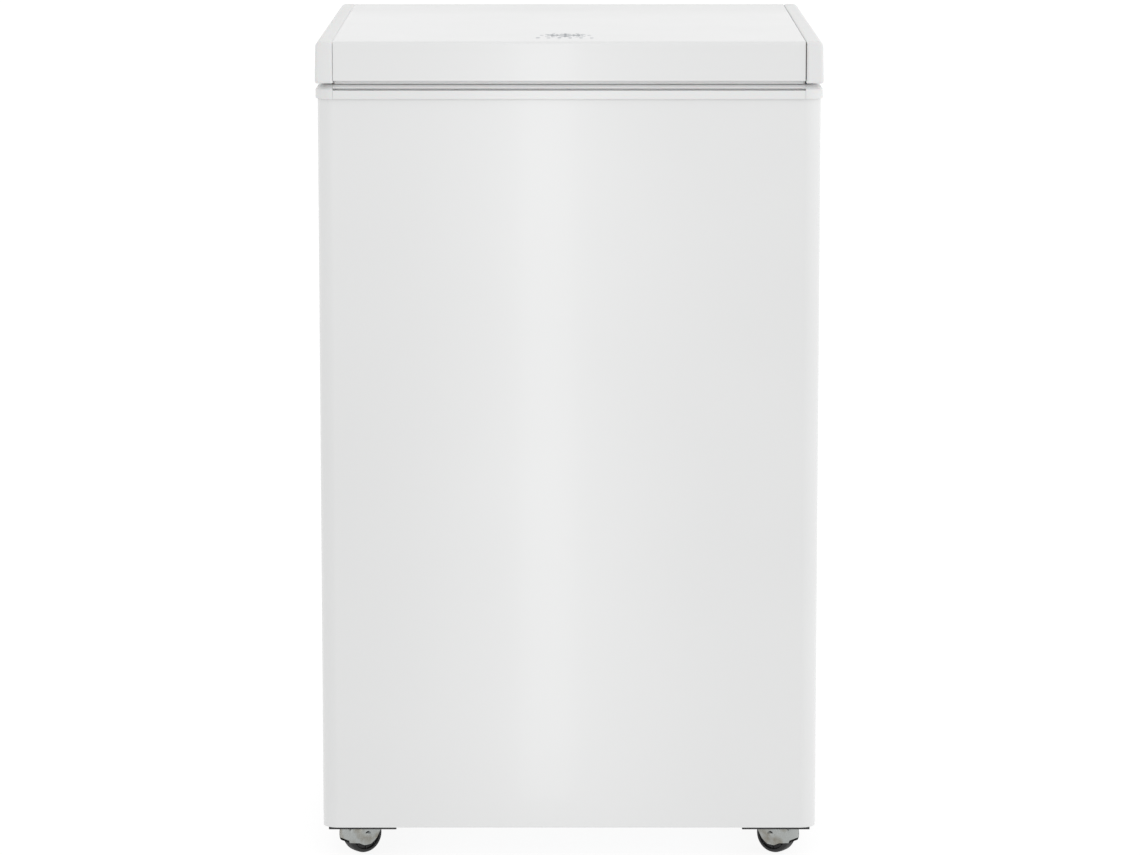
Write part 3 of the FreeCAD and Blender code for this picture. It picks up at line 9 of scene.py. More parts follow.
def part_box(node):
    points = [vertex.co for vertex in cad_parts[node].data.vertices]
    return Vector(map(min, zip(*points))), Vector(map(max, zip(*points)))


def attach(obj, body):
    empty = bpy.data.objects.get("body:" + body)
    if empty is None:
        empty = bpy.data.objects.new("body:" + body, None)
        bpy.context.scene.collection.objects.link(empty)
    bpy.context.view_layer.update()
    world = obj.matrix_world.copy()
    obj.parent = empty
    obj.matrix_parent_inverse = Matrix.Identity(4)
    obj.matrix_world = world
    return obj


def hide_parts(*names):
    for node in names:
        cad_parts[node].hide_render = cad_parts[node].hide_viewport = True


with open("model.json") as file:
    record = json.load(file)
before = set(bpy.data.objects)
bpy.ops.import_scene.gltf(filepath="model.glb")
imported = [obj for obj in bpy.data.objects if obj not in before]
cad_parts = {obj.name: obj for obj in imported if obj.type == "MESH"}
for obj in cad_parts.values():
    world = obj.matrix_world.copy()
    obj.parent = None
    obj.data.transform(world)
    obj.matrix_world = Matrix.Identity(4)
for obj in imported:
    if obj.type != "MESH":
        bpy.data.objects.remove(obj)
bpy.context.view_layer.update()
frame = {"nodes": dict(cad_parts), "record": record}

# Meshes are built in millimetres; the scene is in metres.
MM = 0.001
WHITE = (0.674, 0.677, 0.676)

# Camera: where the photograph was taken from, tilted down instead of shifted.
CAMERA_PLACE = (0.0008, -5.1345, 1.2356)
CAMERA_PITCH = 9.11
CAMERA_LENS = 152.33


# ---------------------------------------------------------------- camera, floor and light
def make_camera():
    data = bpy.data.cameras.new("camera")
    data.lens = CAMERA_LENS
    data.sensor_width = 36.0
    data.clip_end = 100.0
    camera = bpy.data.objects.new("camera", data)
    camera.location = CAMERA_PLACE
    camera.rotation_euler = (math.radians(90 - CAMERA_PITCH), 0, 0)
    bpy.context.scene.collection.objects.link(camera)
    bpy.context.scene.camera = camera


def area_light(name, place, aim, size, watts, gloss=False):
    """A soft rectangular light aimed at a place; glossy paint mirrors it only when gloss is set."""
    data = bpy.data.lights.new(name, "AREA")
    data.shape = "RECTANGLE"
    data.size, data.size_y = size
    data.energy = watts
    light = bpy.data.objects.new(name, data)
    light.location = place
    light.rotation_euler = (Vector(aim) - Vector(place)).to_track_quat("-Z", "Y").to_euler()
    light.visible_camera = False
    light.visible_glossy = gloss
    bpy.context.scene.collection.objects.link(light)


def make_studio():
    scene = bpy.context.scene
    scene.view_settings.view_transform = "Standard"
    world = bpy.data.worlds.new("studio")
    scene.world = world
    world.use_nodes = True
    background = world.node_tree.nodes["Background"]
    background.inputs["Color"].default_value = (1.0, 1.0, 1.0, 1.0)
    background.inputs["Strength"].default_value = 1.02
    area_light("strip_light", (-0.025, -0.45, 0.46), (-0.025, -0.27, 0.46), (0.06, 0.98), 0.14, gloss=True)
    area_light("key_light", (2.5, -0.8, 1.2), (0, -0.2, 0.7), (0.7, 0.9), 11)
    area_light("front_light", (0.1, -1.2, 2.0), (0, -0.27, 0.6), (1.2, 0.6), 1.4)
    floor = bpy.data.meshes.new("floor")
    reach = 30.0
    floor.from_pydata([(-reach, -reach, 0), (reach, -reach, 0), (reach, reach, 0), (-reach, reach, 0)], [],
                      [(0, 1, 2, 3)])
    floor.materials.append(floor_material())
    piece = bpy.data.objects.new("floor", floor)
    scene.collection.objects.link(piece)


# ---------------------------------------------------------------- materials
class Nodes:
    """A material's node tree with short ways to add and join nodes."""

    def __init__(self, name, **sockets):
        self.material = bpy.data.materials.new(name)
        self.material.use_nodes = True
        self.tree = self.material.node_tree
        self.shader = self.tree.nodes["Principled BSDF"]
        for label, setting in sockets.items():
            self.shader.inputs[label.replace("_", " ")].default_value = setting
        self.place = self.add("ShaderNodeTexCoord").outputs["Object"]

    def add(self, kind, inputs=None, **settings):
        node = self.tree.nodes.new(kind)
        for label, setting in settings.items():
            setattr(node, label, setting)
        for label, setting in (inputs or {}).items():
            if hasattr(setting, "is_output"):
                self.tree.links.new(setting, node.inputs[label])
            else:
                node.inputs[label].default_value = setting
        return node

    def noise(self, scale, detail=2.0, roughness=0.5, stretch=None):
        place = self.place
        if stretch is not None:
            place = self.add("ShaderNodeMapping", {"Vector": place, "Scale": stretch}).outputs["Vector"]
        return self.add("ShaderNodeTexNoise", {"Vector": place, "Scale": scale, "Detail": detail,
                                               "Roughness": roughness}).outputs["Fac"]

    def cells(self, scale, feature="F1"):
        return self.add("ShaderNodeTexVoronoi", {"Vector": self.place, "Scale": scale}, feature=feature)

    def ramp(self, value, low, high, start=0.35, end=0.65):
        """Colours or greys between two stops."""
        node = self.add("ShaderNodeValToRGB", {"Fac": value})
        node.color_ramp.elements[0].position, node.color_ramp.elements[1].position = start, end
        node.color_ramp.elements[0].color = (*low, 1)
        node.color_ramp.elements[1].color = (*high, 1)
        return node.outputs["Color"]

    def between(self, value, low, high):
        node = self.add("ShaderNodeMapRange", {"Value": value, "To Min": low, "To Max": high})
        return node.outputs["Result"]

    def join(self, output, socket):
        self.tree.links.new(output, self.shader.inputs[socket])

    def bump(self, height, strength, distance, under=None):
        inputs = {"Height": height, "Strength": strength, "Distance": distance}
        if under is not None:
            inputs["Normal"] = under
        return self.add("ShaderNodeBump", inputs).outputs["Normal"]


def tone(colour, factor):
    return tuple(min(1.0, channel * factor) for channel in colour)


def floor_material():
    nodes = Nodes("studio_floor", Roughness=0.9, Specular_IOR_Level=0.0, Emission_Color=(1, 1, 1, 1),
                  Emission_Strength=0.9)
    nodes.join(nodes.ramp(nodes.noise(3.0), (0.13, 0.13, 0.13), (0.14, 0.14, 0.14)), "Base Color")
    return nodes.material


def painted_steel():
    """Pre-painted sheet: a glossy film with the faint ripple of orange peel and a little dust tone."""
    nodes = Nodes("painted_steel", Coat_Weight=0.35, Coat_Roughness=0.12, IOR=1.5)
    nodes.join(nodes.ramp(nodes.noise(2.5, 3.0), tone(WHITE, 0.985), tone(WHITE, 1.01)), "Base Color")
    nodes.join(nodes.between(nodes.noise(14.0, 3.0), 0.27, 0.36), "Roughness")
    peel = nodes.bump(nodes.noise(650.0, 1.5), 0.05, 0.0003)
    nodes.join(nodes.bump(nodes.noise(9.0, 1.0), 0.04, 0.002, peel), "Normal")
    return nodes.material


def white_plastic(name="white_plastic", colour=WHITE, grain=0.10):
    """Moulded or extruded plastic: satin, with a fine spark-eroded grain."""
    nodes = Nodes(name, IOR=1.49, Subsurface_Weight=0.05, Subsurface_Scale=0.002)
    nodes.join(nodes.ramp(nodes.noise(6.0, 2.0), tone(colour, 0.985), tone(colour, 1.015)), "Base Color")
    nodes.join(nodes.between(nodes.noise(40.0, 3.0), 0.32, 0.44), "Roughness")
    nodes.join(nodes.bump(nodes.noise(2200.0, 3.0), grain, 0.0002), "Normal")
    return nodes.material


def stucco_sheet():
    """Painted aluminium tank sheet, rolled with a small leathery stucco pattern."""
    nodes = Nodes("stucco_sheet", Coat_Weight=0.2, Coat_Roughness=0.2)
    nodes.join(nodes.ramp(nodes.noise(4.0), (0.74, 0.75, 0.76), (0.78, 0.79, 0.80)), "Base Color")
    nodes.join(nodes.between(nodes.noise(60.0), 0.3, 0.4), "Roughness")
    cells = nodes.cells(170.0, "SMOOTH_F1").outputs["Distance"]
    nodes.join(nodes.bump(cells, 0.35, 0.0006), "Normal")
    return nodes.material


def zinc_plate(name="zinc_plate", colour=(0.37, 0.385, 0.375), low=0.16, high=0.34):
    """Zinc on pressed steel, with drawing lines, and cloudy patches of darker brown that are a painted
    reflection of a wooden floor.
    """
    nodes = Nodes(name, Metallic=1.0)
    # Painted reflection: a darker brown tone, laid in noise patches, stands in for a wooden floor mirrored in
    # the zinc.
    painted_floor_reflection = tuple(a * b for a, b in zip(colour, (0.62, 0.55, 0.46)))
    nodes.join(nodes.ramp(nodes.noise(75.0, 4.0), colour, painted_floor_reflection, 0.45, 0.7), "Base Color")
    nodes.join(nodes.between(nodes.noise(240.0, 4.0), low, high), "Roughness")
    nodes.join(nodes.bump(nodes.noise(500.0, 3.0, 0.6, (1, 1, 6)), 0.08, 0.0002), "Normal")
    return nodes.material


def galvanised():
    """Hot-dip sheet with its spangle of angular grains."""
    nodes = Nodes("galvanised", Metallic=0.9)
    grains = nodes.cells(95.0)
    shade = nodes.add("ShaderNodeSeparateColor", {"Color": grains.outputs["Color"]}).outputs["Red"]
    nodes.join(nodes.ramp(shade, (0.42, 0.44, 0.46), (0.66, 0.68, 0.70), 0.1, 0.9), "Base Color")
    nodes.join(nodes.between(shade, 0.32, 0.52), "Roughness")
    nodes.join(nodes.bump(nodes.noise(300.0), 0.1, 0.0002), "Normal")
    return nodes.material


def black_paint():
    """Black enamel over rough steel, worn a little grey in its high spots."""
    colour = (0.012, 0.012, 0.013)
    nodes = Nodes("black_paint", Coat_Weight=0.15, Coat_Roughness=0.3)
    nodes.join(nodes.ramp(nodes.noise(120.0, 5.0), colour, tone(colour, 2.2), 0.45, 0.8), "Base Color")
    nodes.join(nodes.between(nodes.noise(200.0, 4.0), 0.35, 0.5), "Roughness")
    nodes.join(nodes.bump(nodes.noise(900.0, 3.0), 0.2, 0.0003), "Normal")
    return nodes.material


def dark_polymer(name, colour, rough=(0.4, 0.6)):
    """Black or grey moulded polymer with a fine matt grain."""
    nodes = Nodes(name, IOR=1.5)
    nodes.join(nodes.ramp(nodes.noise(70.0, 4.0), colour, tone(colour, 1.7), 0.4, 0.8), "Base Color")
    nodes.join(nodes.between(nodes.noise(160.0, 3.0), *rough), "Roughness")
    nodes.join(nodes.bump(nodes.noise(1400.0, 3.0), 0.25, 0.0002), "Normal")
    return nodes.material


def foam_material():
    """Cream polyurethane with its open pores, painted darker toward each pit as the shade inside it."""
    nodes = Nodes("cream_foam", Roughness=0.9)
    pores = nodes.cells(520.0).outputs["Distance"]
    # Painted shade: the colour darkens toward the bottom of each pore.
    nodes.join(nodes.ramp(pores, (0.62, 0.52, 0.30), (0.84, 0.76, 0.54), 0.0, 0.6), "Base Color")
    nodes.join(nodes.bump(pores, 0.5, 0.0008), "Normal")
    return nodes.material


def tube_metal(name, colour):
    """Drawn tube, tarnished in patches."""
    nodes = Nodes(name, Metallic=1.0)
    nodes.join(nodes.ramp(nodes.noise(60.0, 5.0), tone(colour, 0.55), colour, 0.3, 0.6), "Base Color")
    nodes.join(nodes.between(nodes.noise(150.0, 3.0), 0.25, 0.45), "Roughness")
    nodes.join(nodes.bump(nodes.noise(700.0), 0.1, 0.0001), "Normal")
    return nodes.material


def printed_grey():
    """Grey silk-screen ink, slightly uneven."""
    nodes = Nodes("printed_grey", Roughness=0.5)
    nodes.join(nodes.ramp(nodes.noise(400.0, 3.0), (0.36, 0.38, 0.40), (0.44, 0.46, 0.48)), "Base Color")
    return nodes.material


# ---------------------------------------------------------------- mesh tools
def arc_points(before, corner, after, radius, steps):
    """The points of the arc that rounds one corner of a flat outline."""
    to_before, to_after = (before - corner), (after - corner)
    if radius <= 0 or to_before.length < 1e-9 or to_after.length < 1e-9:
        return [corner]
    one, two = to_before.normalized(), to_after.normalized()
    half = one.angle(two) / 2
    if half > math.radians(89):
        return [corner]
    reach = min(radius / math.tan(half), 0.49 * to_before.length, 0.49 * to_after.length)
    radius = reach * math.tan(half)
    centre = corner + (one + two).normalized() * (radius / math.sin(half))
    start, end = corner + one * reach - centre, corner + two * reach - centre
    turn = start.angle_signed(end)
    return [centre + Matrix.Rotation(-turn * step / steps, 2) @ start for step in range(steps + 1)]


def rounded(corners, radii, steps=6):
    """A closed flat outline whose corners are arcs; radii is one number or one for each corner."""
    corners = [Vector(corner) for corner in corners]
    if not isinstance(radii, (list, tuple)):
        radii = [radii] * len(corners)
    points = []
    for index, corner in enumerate(corners):
        after = corners[(index + 1) % len(corners)]
        points += arc_points(corners[index - 1], corner, after, radii[index], steps)
    return [tuple(point) for point in points]


def rounded_open(corners, radii):
    """Like rounded, for a line that has two ends."""
    corners = [Vector(corner) for corner in corners]
    points = [corners[0]]
    for index in range(1, len(corners) - 1):
        points += arc_points(corners[index - 1], corners[index], corners[index + 1], radii[index], 5)
    return [tuple(point) for point in points + [corners[-1]]]


def to_mesh(name, shape):
    """Turns a shape built in millimetres into a mesh in metres, and frees the shape."""
    bmesh.ops.remove_doubles(shape, verts=shape.verts, dist=0.001)
    bmesh.ops.recalc_face_normals(shape, faces=shape.faces)
    bmesh.ops.scale(shape, vec=(MM, MM, MM), verts=shape.verts)
    mesh = bpy.data.meshes.new(name)
    shape.to_mesh(mesh)
    shape.free()
    return mesh


def finish_piece(name, shape, body, material, nodes=(), sharp=32.0):
    """Links a shape as one piece of the object: smooth but for its sharp edges, riding on its body."""
    mesh = to_mesh(name, shape)
    mesh.materials.append(material)
    mesh.shade_smooth()
    mesh.set_sharp_from_angle(angle=math.radians(sharp))
    piece = bpy.data.objects.new(name, mesh)
    bpy.context.scene.collection.objects.link(piece)
    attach(piece, body)
    if nodes:
        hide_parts(*nodes)
    return piece


def bridge(shape, rows, closed_columns=False):
    """Quads between rows of points that each close on themselves; the last row may meet the first."""
    made = [[shape.verts.new(point) for point in row] for row in rows]
    count = len(made[0])
    pairs = len(made) if closed_columns else len(made) - 1
    for index in range(pairs):
        near, far = made[index], made[(index + 1) % len(made)]
        for step in range(count):
            after = (step + 1) % count
            shape.faces.new((near[step], near[after], far[after], far[step]))
    return made


def loft(shape, rows):
    """A closed solid through rows that each close on themselves, with a face on each end."""
    made = bridge(shape, rows)
    shape.faces.new(list(reversed(made[0])))
    shape.faces.new(made[-1])


def prism(shape, outline, low, high, place):
    """A straight bar; place turns an outline point and a distance along the bar into a point in space."""
    loft(shape, [[Vector(place(a, b, along)) for a, b in outline] for along in (low, high)])


def lathe(shape, profile, turned, steps=48, sweep=2 * math.pi):
    """A profile of radius and height turned about an axis; turned places radius, angle and height."""
    whole = abs(sweep - 2 * math.pi) < 1e-6
    count = steps if whole else steps + 1
    rows = [[Vector(turned(radius, sweep * step / steps, height)) for radius, height in profile]
            for step in range(count)]
    if whole:
        bridge(shape, rows, closed_columns=True)
    else:
        loft(shape, rows)


def wire(shape, route, radius, sides=10, closed=False):
    """A round bar along a route, turned from point to point without twist."""
    route = [Vector(point) for point in route]
    count = len(route)
    turns = [2 * math.pi * k / sides for k in range(sides)]
    rows, across = [], None
    for index, point in enumerate(route):
        before = route[index - 1] if index > 0 or closed else point
        after = route[(index + 1) % count] if index < count - 1 or closed else point
        along = (after - before).normalized()
        if across is None:
            across = along.orthogonal().normalized()
        across = (across - along * across.dot(along)).normalized()
        other = along.cross(across)
        rows.append([point + (across * math.cos(turn) + other * math.sin(turn)) * radius for turn in turns])
    if closed:
        bridge(shape, rows, closed_columns=True)
    else:
        loft(shape, rows)


def bent(points, radius, steps=6):
    """A route in space whose corners are arcs."""
    points = [Vector(point) for point in points]
    route = [points[0]]
    for before, corner, after in zip(points, points[1:], points[2:]):
        one, two = (before - corner), (after - corner)
        half = one.angle(two) / 2
        if half > math.radians(89):
            route.append(corner)
            continue
        reach = min(radius / math.tan(half), 0.45 * one.length, 0.45 * two.length)
        size = reach * math.tan(half)
        one.normalize()
        two.normalize()
        centre = corner + (one + two).normalized() * (size / math.sin(half))
        start, end = corner + one * reach - centre, corner + two * reach - centre
        axis, turn = start.cross(end).normalized(), start.angle(end)
        for step in range(steps + 1):
            route.append(centre + Matrix.Rotation(turn * step / steps, 3, axis) @ start)
    return route + [points[-1]]


def mouth_path(half, front, back, radius, steps=10):
    """Points round a rounded rectangle, each with the outward direction there."""
    path = []
    for x_sign, y, start in ((1, back, 0), (-1, back, 90), (-1, front, 180), (1, front, 270)):
        centre = Vector((x_sign * (half - radius), y - math.copysign(radius, y - (front + back) / 2)))
        for step in range(steps + 1):
            angle = math.radians(start + 90 * step / steps)
            out = Vector((math.cos(angle), math.sin(angle)))
            path.append((centre + out * radius, out))
    return path


def carried(section, path):
    """Rows of points: a section of outward distance and height at each place of a path."""
    return [[Vector((*(point + out * off), height)) for off, height in section] for point, out in path]


def ring(shape, section, path):
    """A section carried all the way round a path that closes on itself."""
    bridge(shape, carried(section, path), closed_columns=True)


# ---------------------------------------------------------------- the frame's places, in millimetres
def box(node):
    low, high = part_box(node)
    return low / MM, high / MM


def joint_place(name):
    joints = {item["name"]: item for item in frame["record"]["behaviour"]["joints"]}
    return Vector(joints[name]["pos_m"]) / MM


# ---------------------------------------------------------------- cabinet
# The rim's section, by height over its bottom edge: how far its legs hang down, where the groove starts,
# the inner shelf and its width, the top, and how far up the wrap goes inside it.
RIM_LEG = 4.0
RIM_GROOVE = 8.9
RIM_SHELF = 8.6
RIM_SHELF_WIDTH = 14.7
RIM_TOP = 14.6
WRAP_LAP = 4.6
# Radius of the cabinet's upright corners.
CORNER = 16.0


def cabinet_wrap(paint):
    """Sheet folded round the front and sides, with a hem rolled under its bottom edge."""
    low, high = box("cabinet_wrap")
    gauge, flange, hem = 0.8, 12.0, 1.3
    section = rounded([(0, high.z), (0, low.z), (-hem, low.z), (-hem, low.z + gauge),
                       (-gauge, low.z + gauge), (-gauge, high.z)], [0.2, 0.9, 0.2, 0.2, 0.2, 0.2])
    arcs = mouth_path(high.x, low.y, high.y, CORNER, 14)
    quarter = len(arcs) // 4
    end = high.x - CORNER - flange
    edges = [(Vector((side * end, high.y)), Vector((0, 1))) for side in (-1, 1)]
    shape = bmesh.new()
    loft(shape, carried(section, edges[:1] + arcs[quarter:] + arcs[:quarter] + edges[1:]))
    finish_piece("painted_wrap", shape, "cabinet", paint, ["cabinet_wrap"])


def rim_outline(low, inner):
    """Section of a rim bar: how far each point stands out from the cabinet, and its height."""
    shelf = inner - RIM_SHELF_WIDTH
    deep, over = -3.8, RIM_GROOVE + 1.9
    skin, wall = 1.8, 1.6
    outside = [(2.0, 0), (2.0, RIM_GROOVE), (deep, RIM_GROOVE), (deep, over), (1.6, over), (-4.8, RIM_TOP),
               (-CORNER, RIM_TOP), (-shelf, RIM_TOP), (-shelf, RIM_SHELF), (-inner, RIM_SHELF),
               (-inner, -RIM_LEG)]
    inside = [(wall - inner, -RIM_LEG), (wall - inner, RIM_SHELF - skin), (-shelf - skin, RIM_SHELF - skin),
              (-shelf - skin, RIM_TOP - skin), (-CORNER, RIM_TOP - skin), (deep - 3.4, RIM_TOP - skin),
              (deep - wall, over), (deep - wall, RIM_GROOVE - wall), (-2.6, RIM_GROOVE - wall),
              (-2.6, -RIM_LEG), (-0.9, -RIM_LEG), (-0.9, WRAP_LAP), (0.05, WRAP_LAP), (0.05, 0)]
    outside_radii = [0.9, 0.3, 0.2, 0.2, 0.45, 1.6, 0, 1.4, 1.0, 1.2, 0.5]
    inside_radii = [0.3] * 4 + [0] + [0.3] * 9
    points = rounded(outside + inside, outside_radii + inside_radii, 5)
    return [(out, low + up) for out, up in points]


def rim_bar(node, axis, side, plastic):
    """One straight bar of the rim, mitred inside the corner mouldings, with flat ends."""
    wrap_low, wrap_high = box("cabinet_wrap")
    tank_low, tank_high = box("liner")
    tank_lap, gap = 2.5, 0.15
    faces = {"front": -wrap_low.y, "back": wrap_high.y, "side": wrap_high.x}
    tanks = {"front": -tank_low.y - tank_lap, "back": tank_high.y - tank_lap, "side": tank_high.x - tank_lap}
    name = "side" if axis == "y" else ("front" if side < 0 else "back")
    face, tank = faces[name], tanks[name]
    outline = rim_outline(box(node)[1].z - RIM_TOP, face - tank)
    shape = bmesh.new()
    rows = []
    for end in (-1, 1):
        met = "side" if axis == "x" else ("front" if end < 0 else "back")
        row = []
        for out, height in outline:
            across = face + out
            share = min(1.0, max(0.0, (across - tank) / (face - CORNER - tank)))
            reach = tanks[met] + share * (faces[met] - CORNER - tanks[met])
            spot = (end * (reach - gap), side * across)
            row.append(Vector((*(spot if axis == "x" else reversed(spot)), height)))
        rows.append(row)
    bends = [index for index, (out, _) in enumerate(outline) if abs(out + CORNER) < 0.01]
    # Each end is two flat faces that meet where the mitre turns.
    for row in bridge(shape, rows):
        shape.faces.new(row[bends[0]:bends[-1] + 1])
        shape.faces.new(row[bends[-1]:] + row[:bends[0] + 1])
    finish_piece(f"{node}_extrusion", shape, "cabinet", plastic, [node])


def rim_corners(plastic):
    """Corner mouldings of the rim: a rounded quarter turn with no groove."""
    wrap_low, wrap_high = box("cabinet_wrap")
    top = box("rim_corners")[1].z
    low = top - RIM_TOP
    profile = rounded([(CORNER, low), (CORNER + 2.1, low), (CORNER + 2.1, low + RIM_GROOVE + 0.9),
                       (CORNER - 4.8, top), (0.02, top), (0.02, top - 4), (CORNER - 3, low - RIM_LEG),
                       (CORNER - 1, low - RIM_LEG), (CORNER - 1, low + WRAP_LAP), (CORNER, low + WRAP_LAP)],
                      [0.05, 0.9, 2.6, 2.2, 0, 0, 0.3, 0.3, 0.1, 0.1], 6)
    shape = bmesh.new()
    for x_sign, y_sign, start in ((1, 1, 0), (-1, 1, 90), (-1, -1, 180), (1, -1, 270)):
        depth = wrap_high.y if y_sign > 0 else -wrap_low.y
        middle = (x_sign * (wrap_high.x - CORNER), y_sign * (depth - CORNER))
        lathe(shape, profile, lambda radius, angle, height, middle=middle, start=start: (
            middle[0] + radius * math.cos(angle + math.radians(start)),
            middle[1] + radius * math.sin(angle + math.radians(start)), height), 14, math.pi / 2)
    finish_piece("rim_corner_mouldings", shape, "cabinet", plastic, ["rim_corners"])


def rim_webs(plastic):
    """Thin ledge under the rim that rounds off its inner corners where they meet the tank."""
    low, high = box("liner")
    foot = box("insulation_foam")[1].z + 0.2
    width, gauge = 8.0, 1.3
    section = [(0, foot), (width, foot), (width, foot + gauge), (0, foot + gauge)]
    shape = bmesh.new()
    ring(shape, section, mouth_path(high.x - 1, low.y + 1, high.y - 1, 22.0, 10))
    finish_piece("rim_inner_ledge", shape, "cabinet", plastic)


def rear_panel(paint):
    """Flat rear sheet, stiffened by two fields with a pressed bead round each."""
    low, high = box("rear_panel")
    gauge = high.y - low.y
    bead, bead_inset, bead_half, bead_slope = 3.0, 6, 5, 1.6
    fields = ((-190, -30, 340, 700), (30, 190, 340, 700))
    shape = bmesh.new()
    columns, rows = 96, 96
    step_x, step_z = (high.x - low.x) / columns, (high.z - low.z) / rows

    def lift(x, z):
        height = 0.0
        for left, right, bottom, top in fields:
            out = max(left - x, x - right, bottom - z, z - top)
            fall = math.tanh((abs(out + bead_inset) - bead_half) / bead_slope)
            height = max(height, bead * 0.5 * (1 - fall))
        return height

    grid = [[(low.x + step_x * i, low.z + step_z * k) for i in range(columns + 1)] for k in range(rows + 1)]
    front = [[shape.verts.new((x, high.y + lift(x, z), z)) for x, z in row] for row in grid]
    for near, far in zip(front, front[1:]):
        for k in range(columns):
            shape.faces.new((near[k], near[k + 1], far[k + 1], far[k]))
    piece = finish_piece("rear_sheet", shape, "cabinet", paint, ["rear_panel"])
    thick = piece.modifiers.new("gauge", "SOLIDIFY")
    thick.thickness = gauge * MM
    thick.offset = -1 if piece.data.polygons[0].normal.y > 0 else 1


# ---------------------------------------------------------------- lid
# How far each end cap laps over the sheet between them.
CAP_LAP = 1.9
# The plug under the lid, as large as in the CAD part.
PLUG_HALF = 184.0
PLUG_FRONT = -200.0
PLUG_BACK = 192.0


def lid_skin(paint):
    """Sheet folded over the lid, hemmed in along its front and back."""
    low, high = box("lid_skin")
    gauge, hem = 0.7, 14.0
    front, back = low.y, high.y
    outline = rounded([
        (front + hem, low.z), (front, low.z), (front, high.z),
        (back, high.z), (back, low.z), (back - hem, low.z), (back - hem, low.z + gauge),
        (back - gauge, low.z + gauge), (back - gauge, high.z - gauge),
        (front + gauge, high.z - gauge), (front + gauge, low.z + gauge), (front + hem, low.z + gauge),
    ], [0.2, 1.6, 3.4, 3.4, 1.6, 0.2, 0.2, 0.9, 2.7, 2.7, 0.9, 0.2], 8)
    shape = bmesh.new()
    prism(shape, outline, low.x + CAP_LAP, high.x - CAP_LAP, lambda a, b, along: (along, a, b))
    finish_piece("lid_sheet", shape, "lid", paint, ["lid_skin"])


def lid_end_cap(node, side, plastic):
    """Moulded end of the lid: rounded all round, a little proud of the sheet, narrower at the back."""
    low, high = box(node)
    gap = 0.9 if side > 0 else 0.1
    seam = box("lid_skin")[1].x - CAP_LAP + gap
    bevel = 2.2
    outer = max(abs(low.x), abs(high.x))
    soft = 3.2
    steps = 7
    length = high.y - low.y
    stations = [soft * (1 - math.cos(math.pi / 2 * k / steps)) for k in range(steps + 1)]
    stations += [length - place for place in reversed(stations)]
    rows = []
    for place in stations:
        near = min(place, length - place, soft)
        shrink = soft - math.sqrt(max(0.0, soft * soft - (soft - near) ** 2))
        back = place / length
        lean, crown = 0.9 + 0.7 * back, 5.2 + 2.6 * back
        inner = seam + bevel * (1 - min(1.0, near / bevel))
        outline = rounded([(inner, low.z + shrink), (outer - shrink, low.z + shrink),
                           (outer - lean - shrink, high.z - shrink), (inner + bevel, high.z - shrink),
                           (inner, high.z - shrink - 0.9)],
                          [0.9, 2.6, crown, 0.5, 0.3], 8)
        rows.append([Vector((side * x, low.y + place, z)) for x, z in outline])
    shape = bmesh.new()
    loft(shape, rows)
    finish_piece(f"{node}_moulding", shape, "lid", plastic, [node])


def panel_rings(*levels):
    """Rings of a moulded panel, each from half width, front, back, corner radius and height."""
    return [[Vector((*point, height)) for point, _ in mouth_path(half, front, back, radius, 8)]
            for half, front, back, radius, height in levels]


def lid_inner_panel(plastic):
    """Inner panel of the lid: a flange, a plug with drafted walls, and a recessed field with ribs."""
    low, high = box("lid_inner_panel")
    flange = box("lid_skin")[0].z + 0.75
    bottom, wall = low.z, 1.2

    def inset(by, radius, height):
        return (PLUG_HALF - by, PLUG_FRONT + by, PLUG_BACK - by, radius, height)

    rows = panel_rings(
        (high.x, low.y, high.y, 3, flange + 1.4), (high.x, low.y, high.y, 3, flange),
        inset(-30, 8, flange), inset(-28.5, 8, flange - 0.9), inset(-12, 12, flange - 0.9),
        inset(-2.6, 18, flange), inset(-0.9, 18.5, flange - 0.5), inset(0, 18, flange - 2),
        inset(1.4, 17.5, bottom + 4), inset(2.2, 17, bottom + 1.4), inset(4.6, 16, bottom),
        inset(26, 12, bottom), inset(28, 11, bottom + 0.6), inset(32, 9, bottom + 5.4),
        inset(34, 8, bottom + 6), inset(60, 5, bottom + 6))
    shape = bmesh.new()
    made = bridge(shape, rows)
    shape.faces.new(made[-1])
    piece = finish_piece("lid_liner_moulding", shape, "lid", plastic,
                         ["lid_inner_panel"], 40)
    thick = piece.modifiers.new("wall", "SOLIDIFY")
    thick.thickness = wall * MM
    thick.offset = -1

    shape = bmesh.new()
    count, rib = 7, 5.0
    span = 2 * (PLUG_HALF - 56)
    outline = rounded([(-rib, 6.5), (-rib * 0.6, 3.4), (rib * 0.6, 3.4), (rib, 6.5)], [0.2, 1.2, 1.2, 0.2], 4)
    for number in range(count):
        x = -span / 2 + span * number / (count - 1)
        prism(shape, outline, PLUG_FRONT + 50, PLUG_BACK - 50,
              lambda a, b, along, x=x: (x + a, along, bottom + b))
    finish_piece("lid_liner_ribs", shape, "lid", plastic, [], 40)


def lid_foam_core(foam):
    """Foam that fills the lid from the panel's recess up to the sheet."""
    low, high = box("lid_foam")
    flange = box("lid_skin")[0].z + 3.6
    bottom = box("lid_inner_panel")[0].z
    levels = [(60, 5, bottom + 7.6), (31, 9, bottom + 7.6), (25.5, 12, bottom + 1.7),
              (6.4, 14, bottom + 1.7), (3.8, 15, bottom + 6), (2.4, 16, flange - 3.6),
              (2.0, 16, flange - 0.1), (-20, 10, flange)]
    rows = [(PLUG_HALF - by, PLUG_FRONT + by, PLUG_BACK - by, radius, height)
            for by, radius, height in levels]
    rows += [(high.x - 4 - by, low.y + 1 + by, high.y - 1 - by, 3, height)
             for by, height in ((0, flange), (0, high.z - 4), (4, high.z - 0.5))]
    shape = bmesh.new()
    loft(shape, panel_rings(*rows))
    finish_piece("lid_foam_core", shape, "lid", foam, ["lid_foam"], 50)


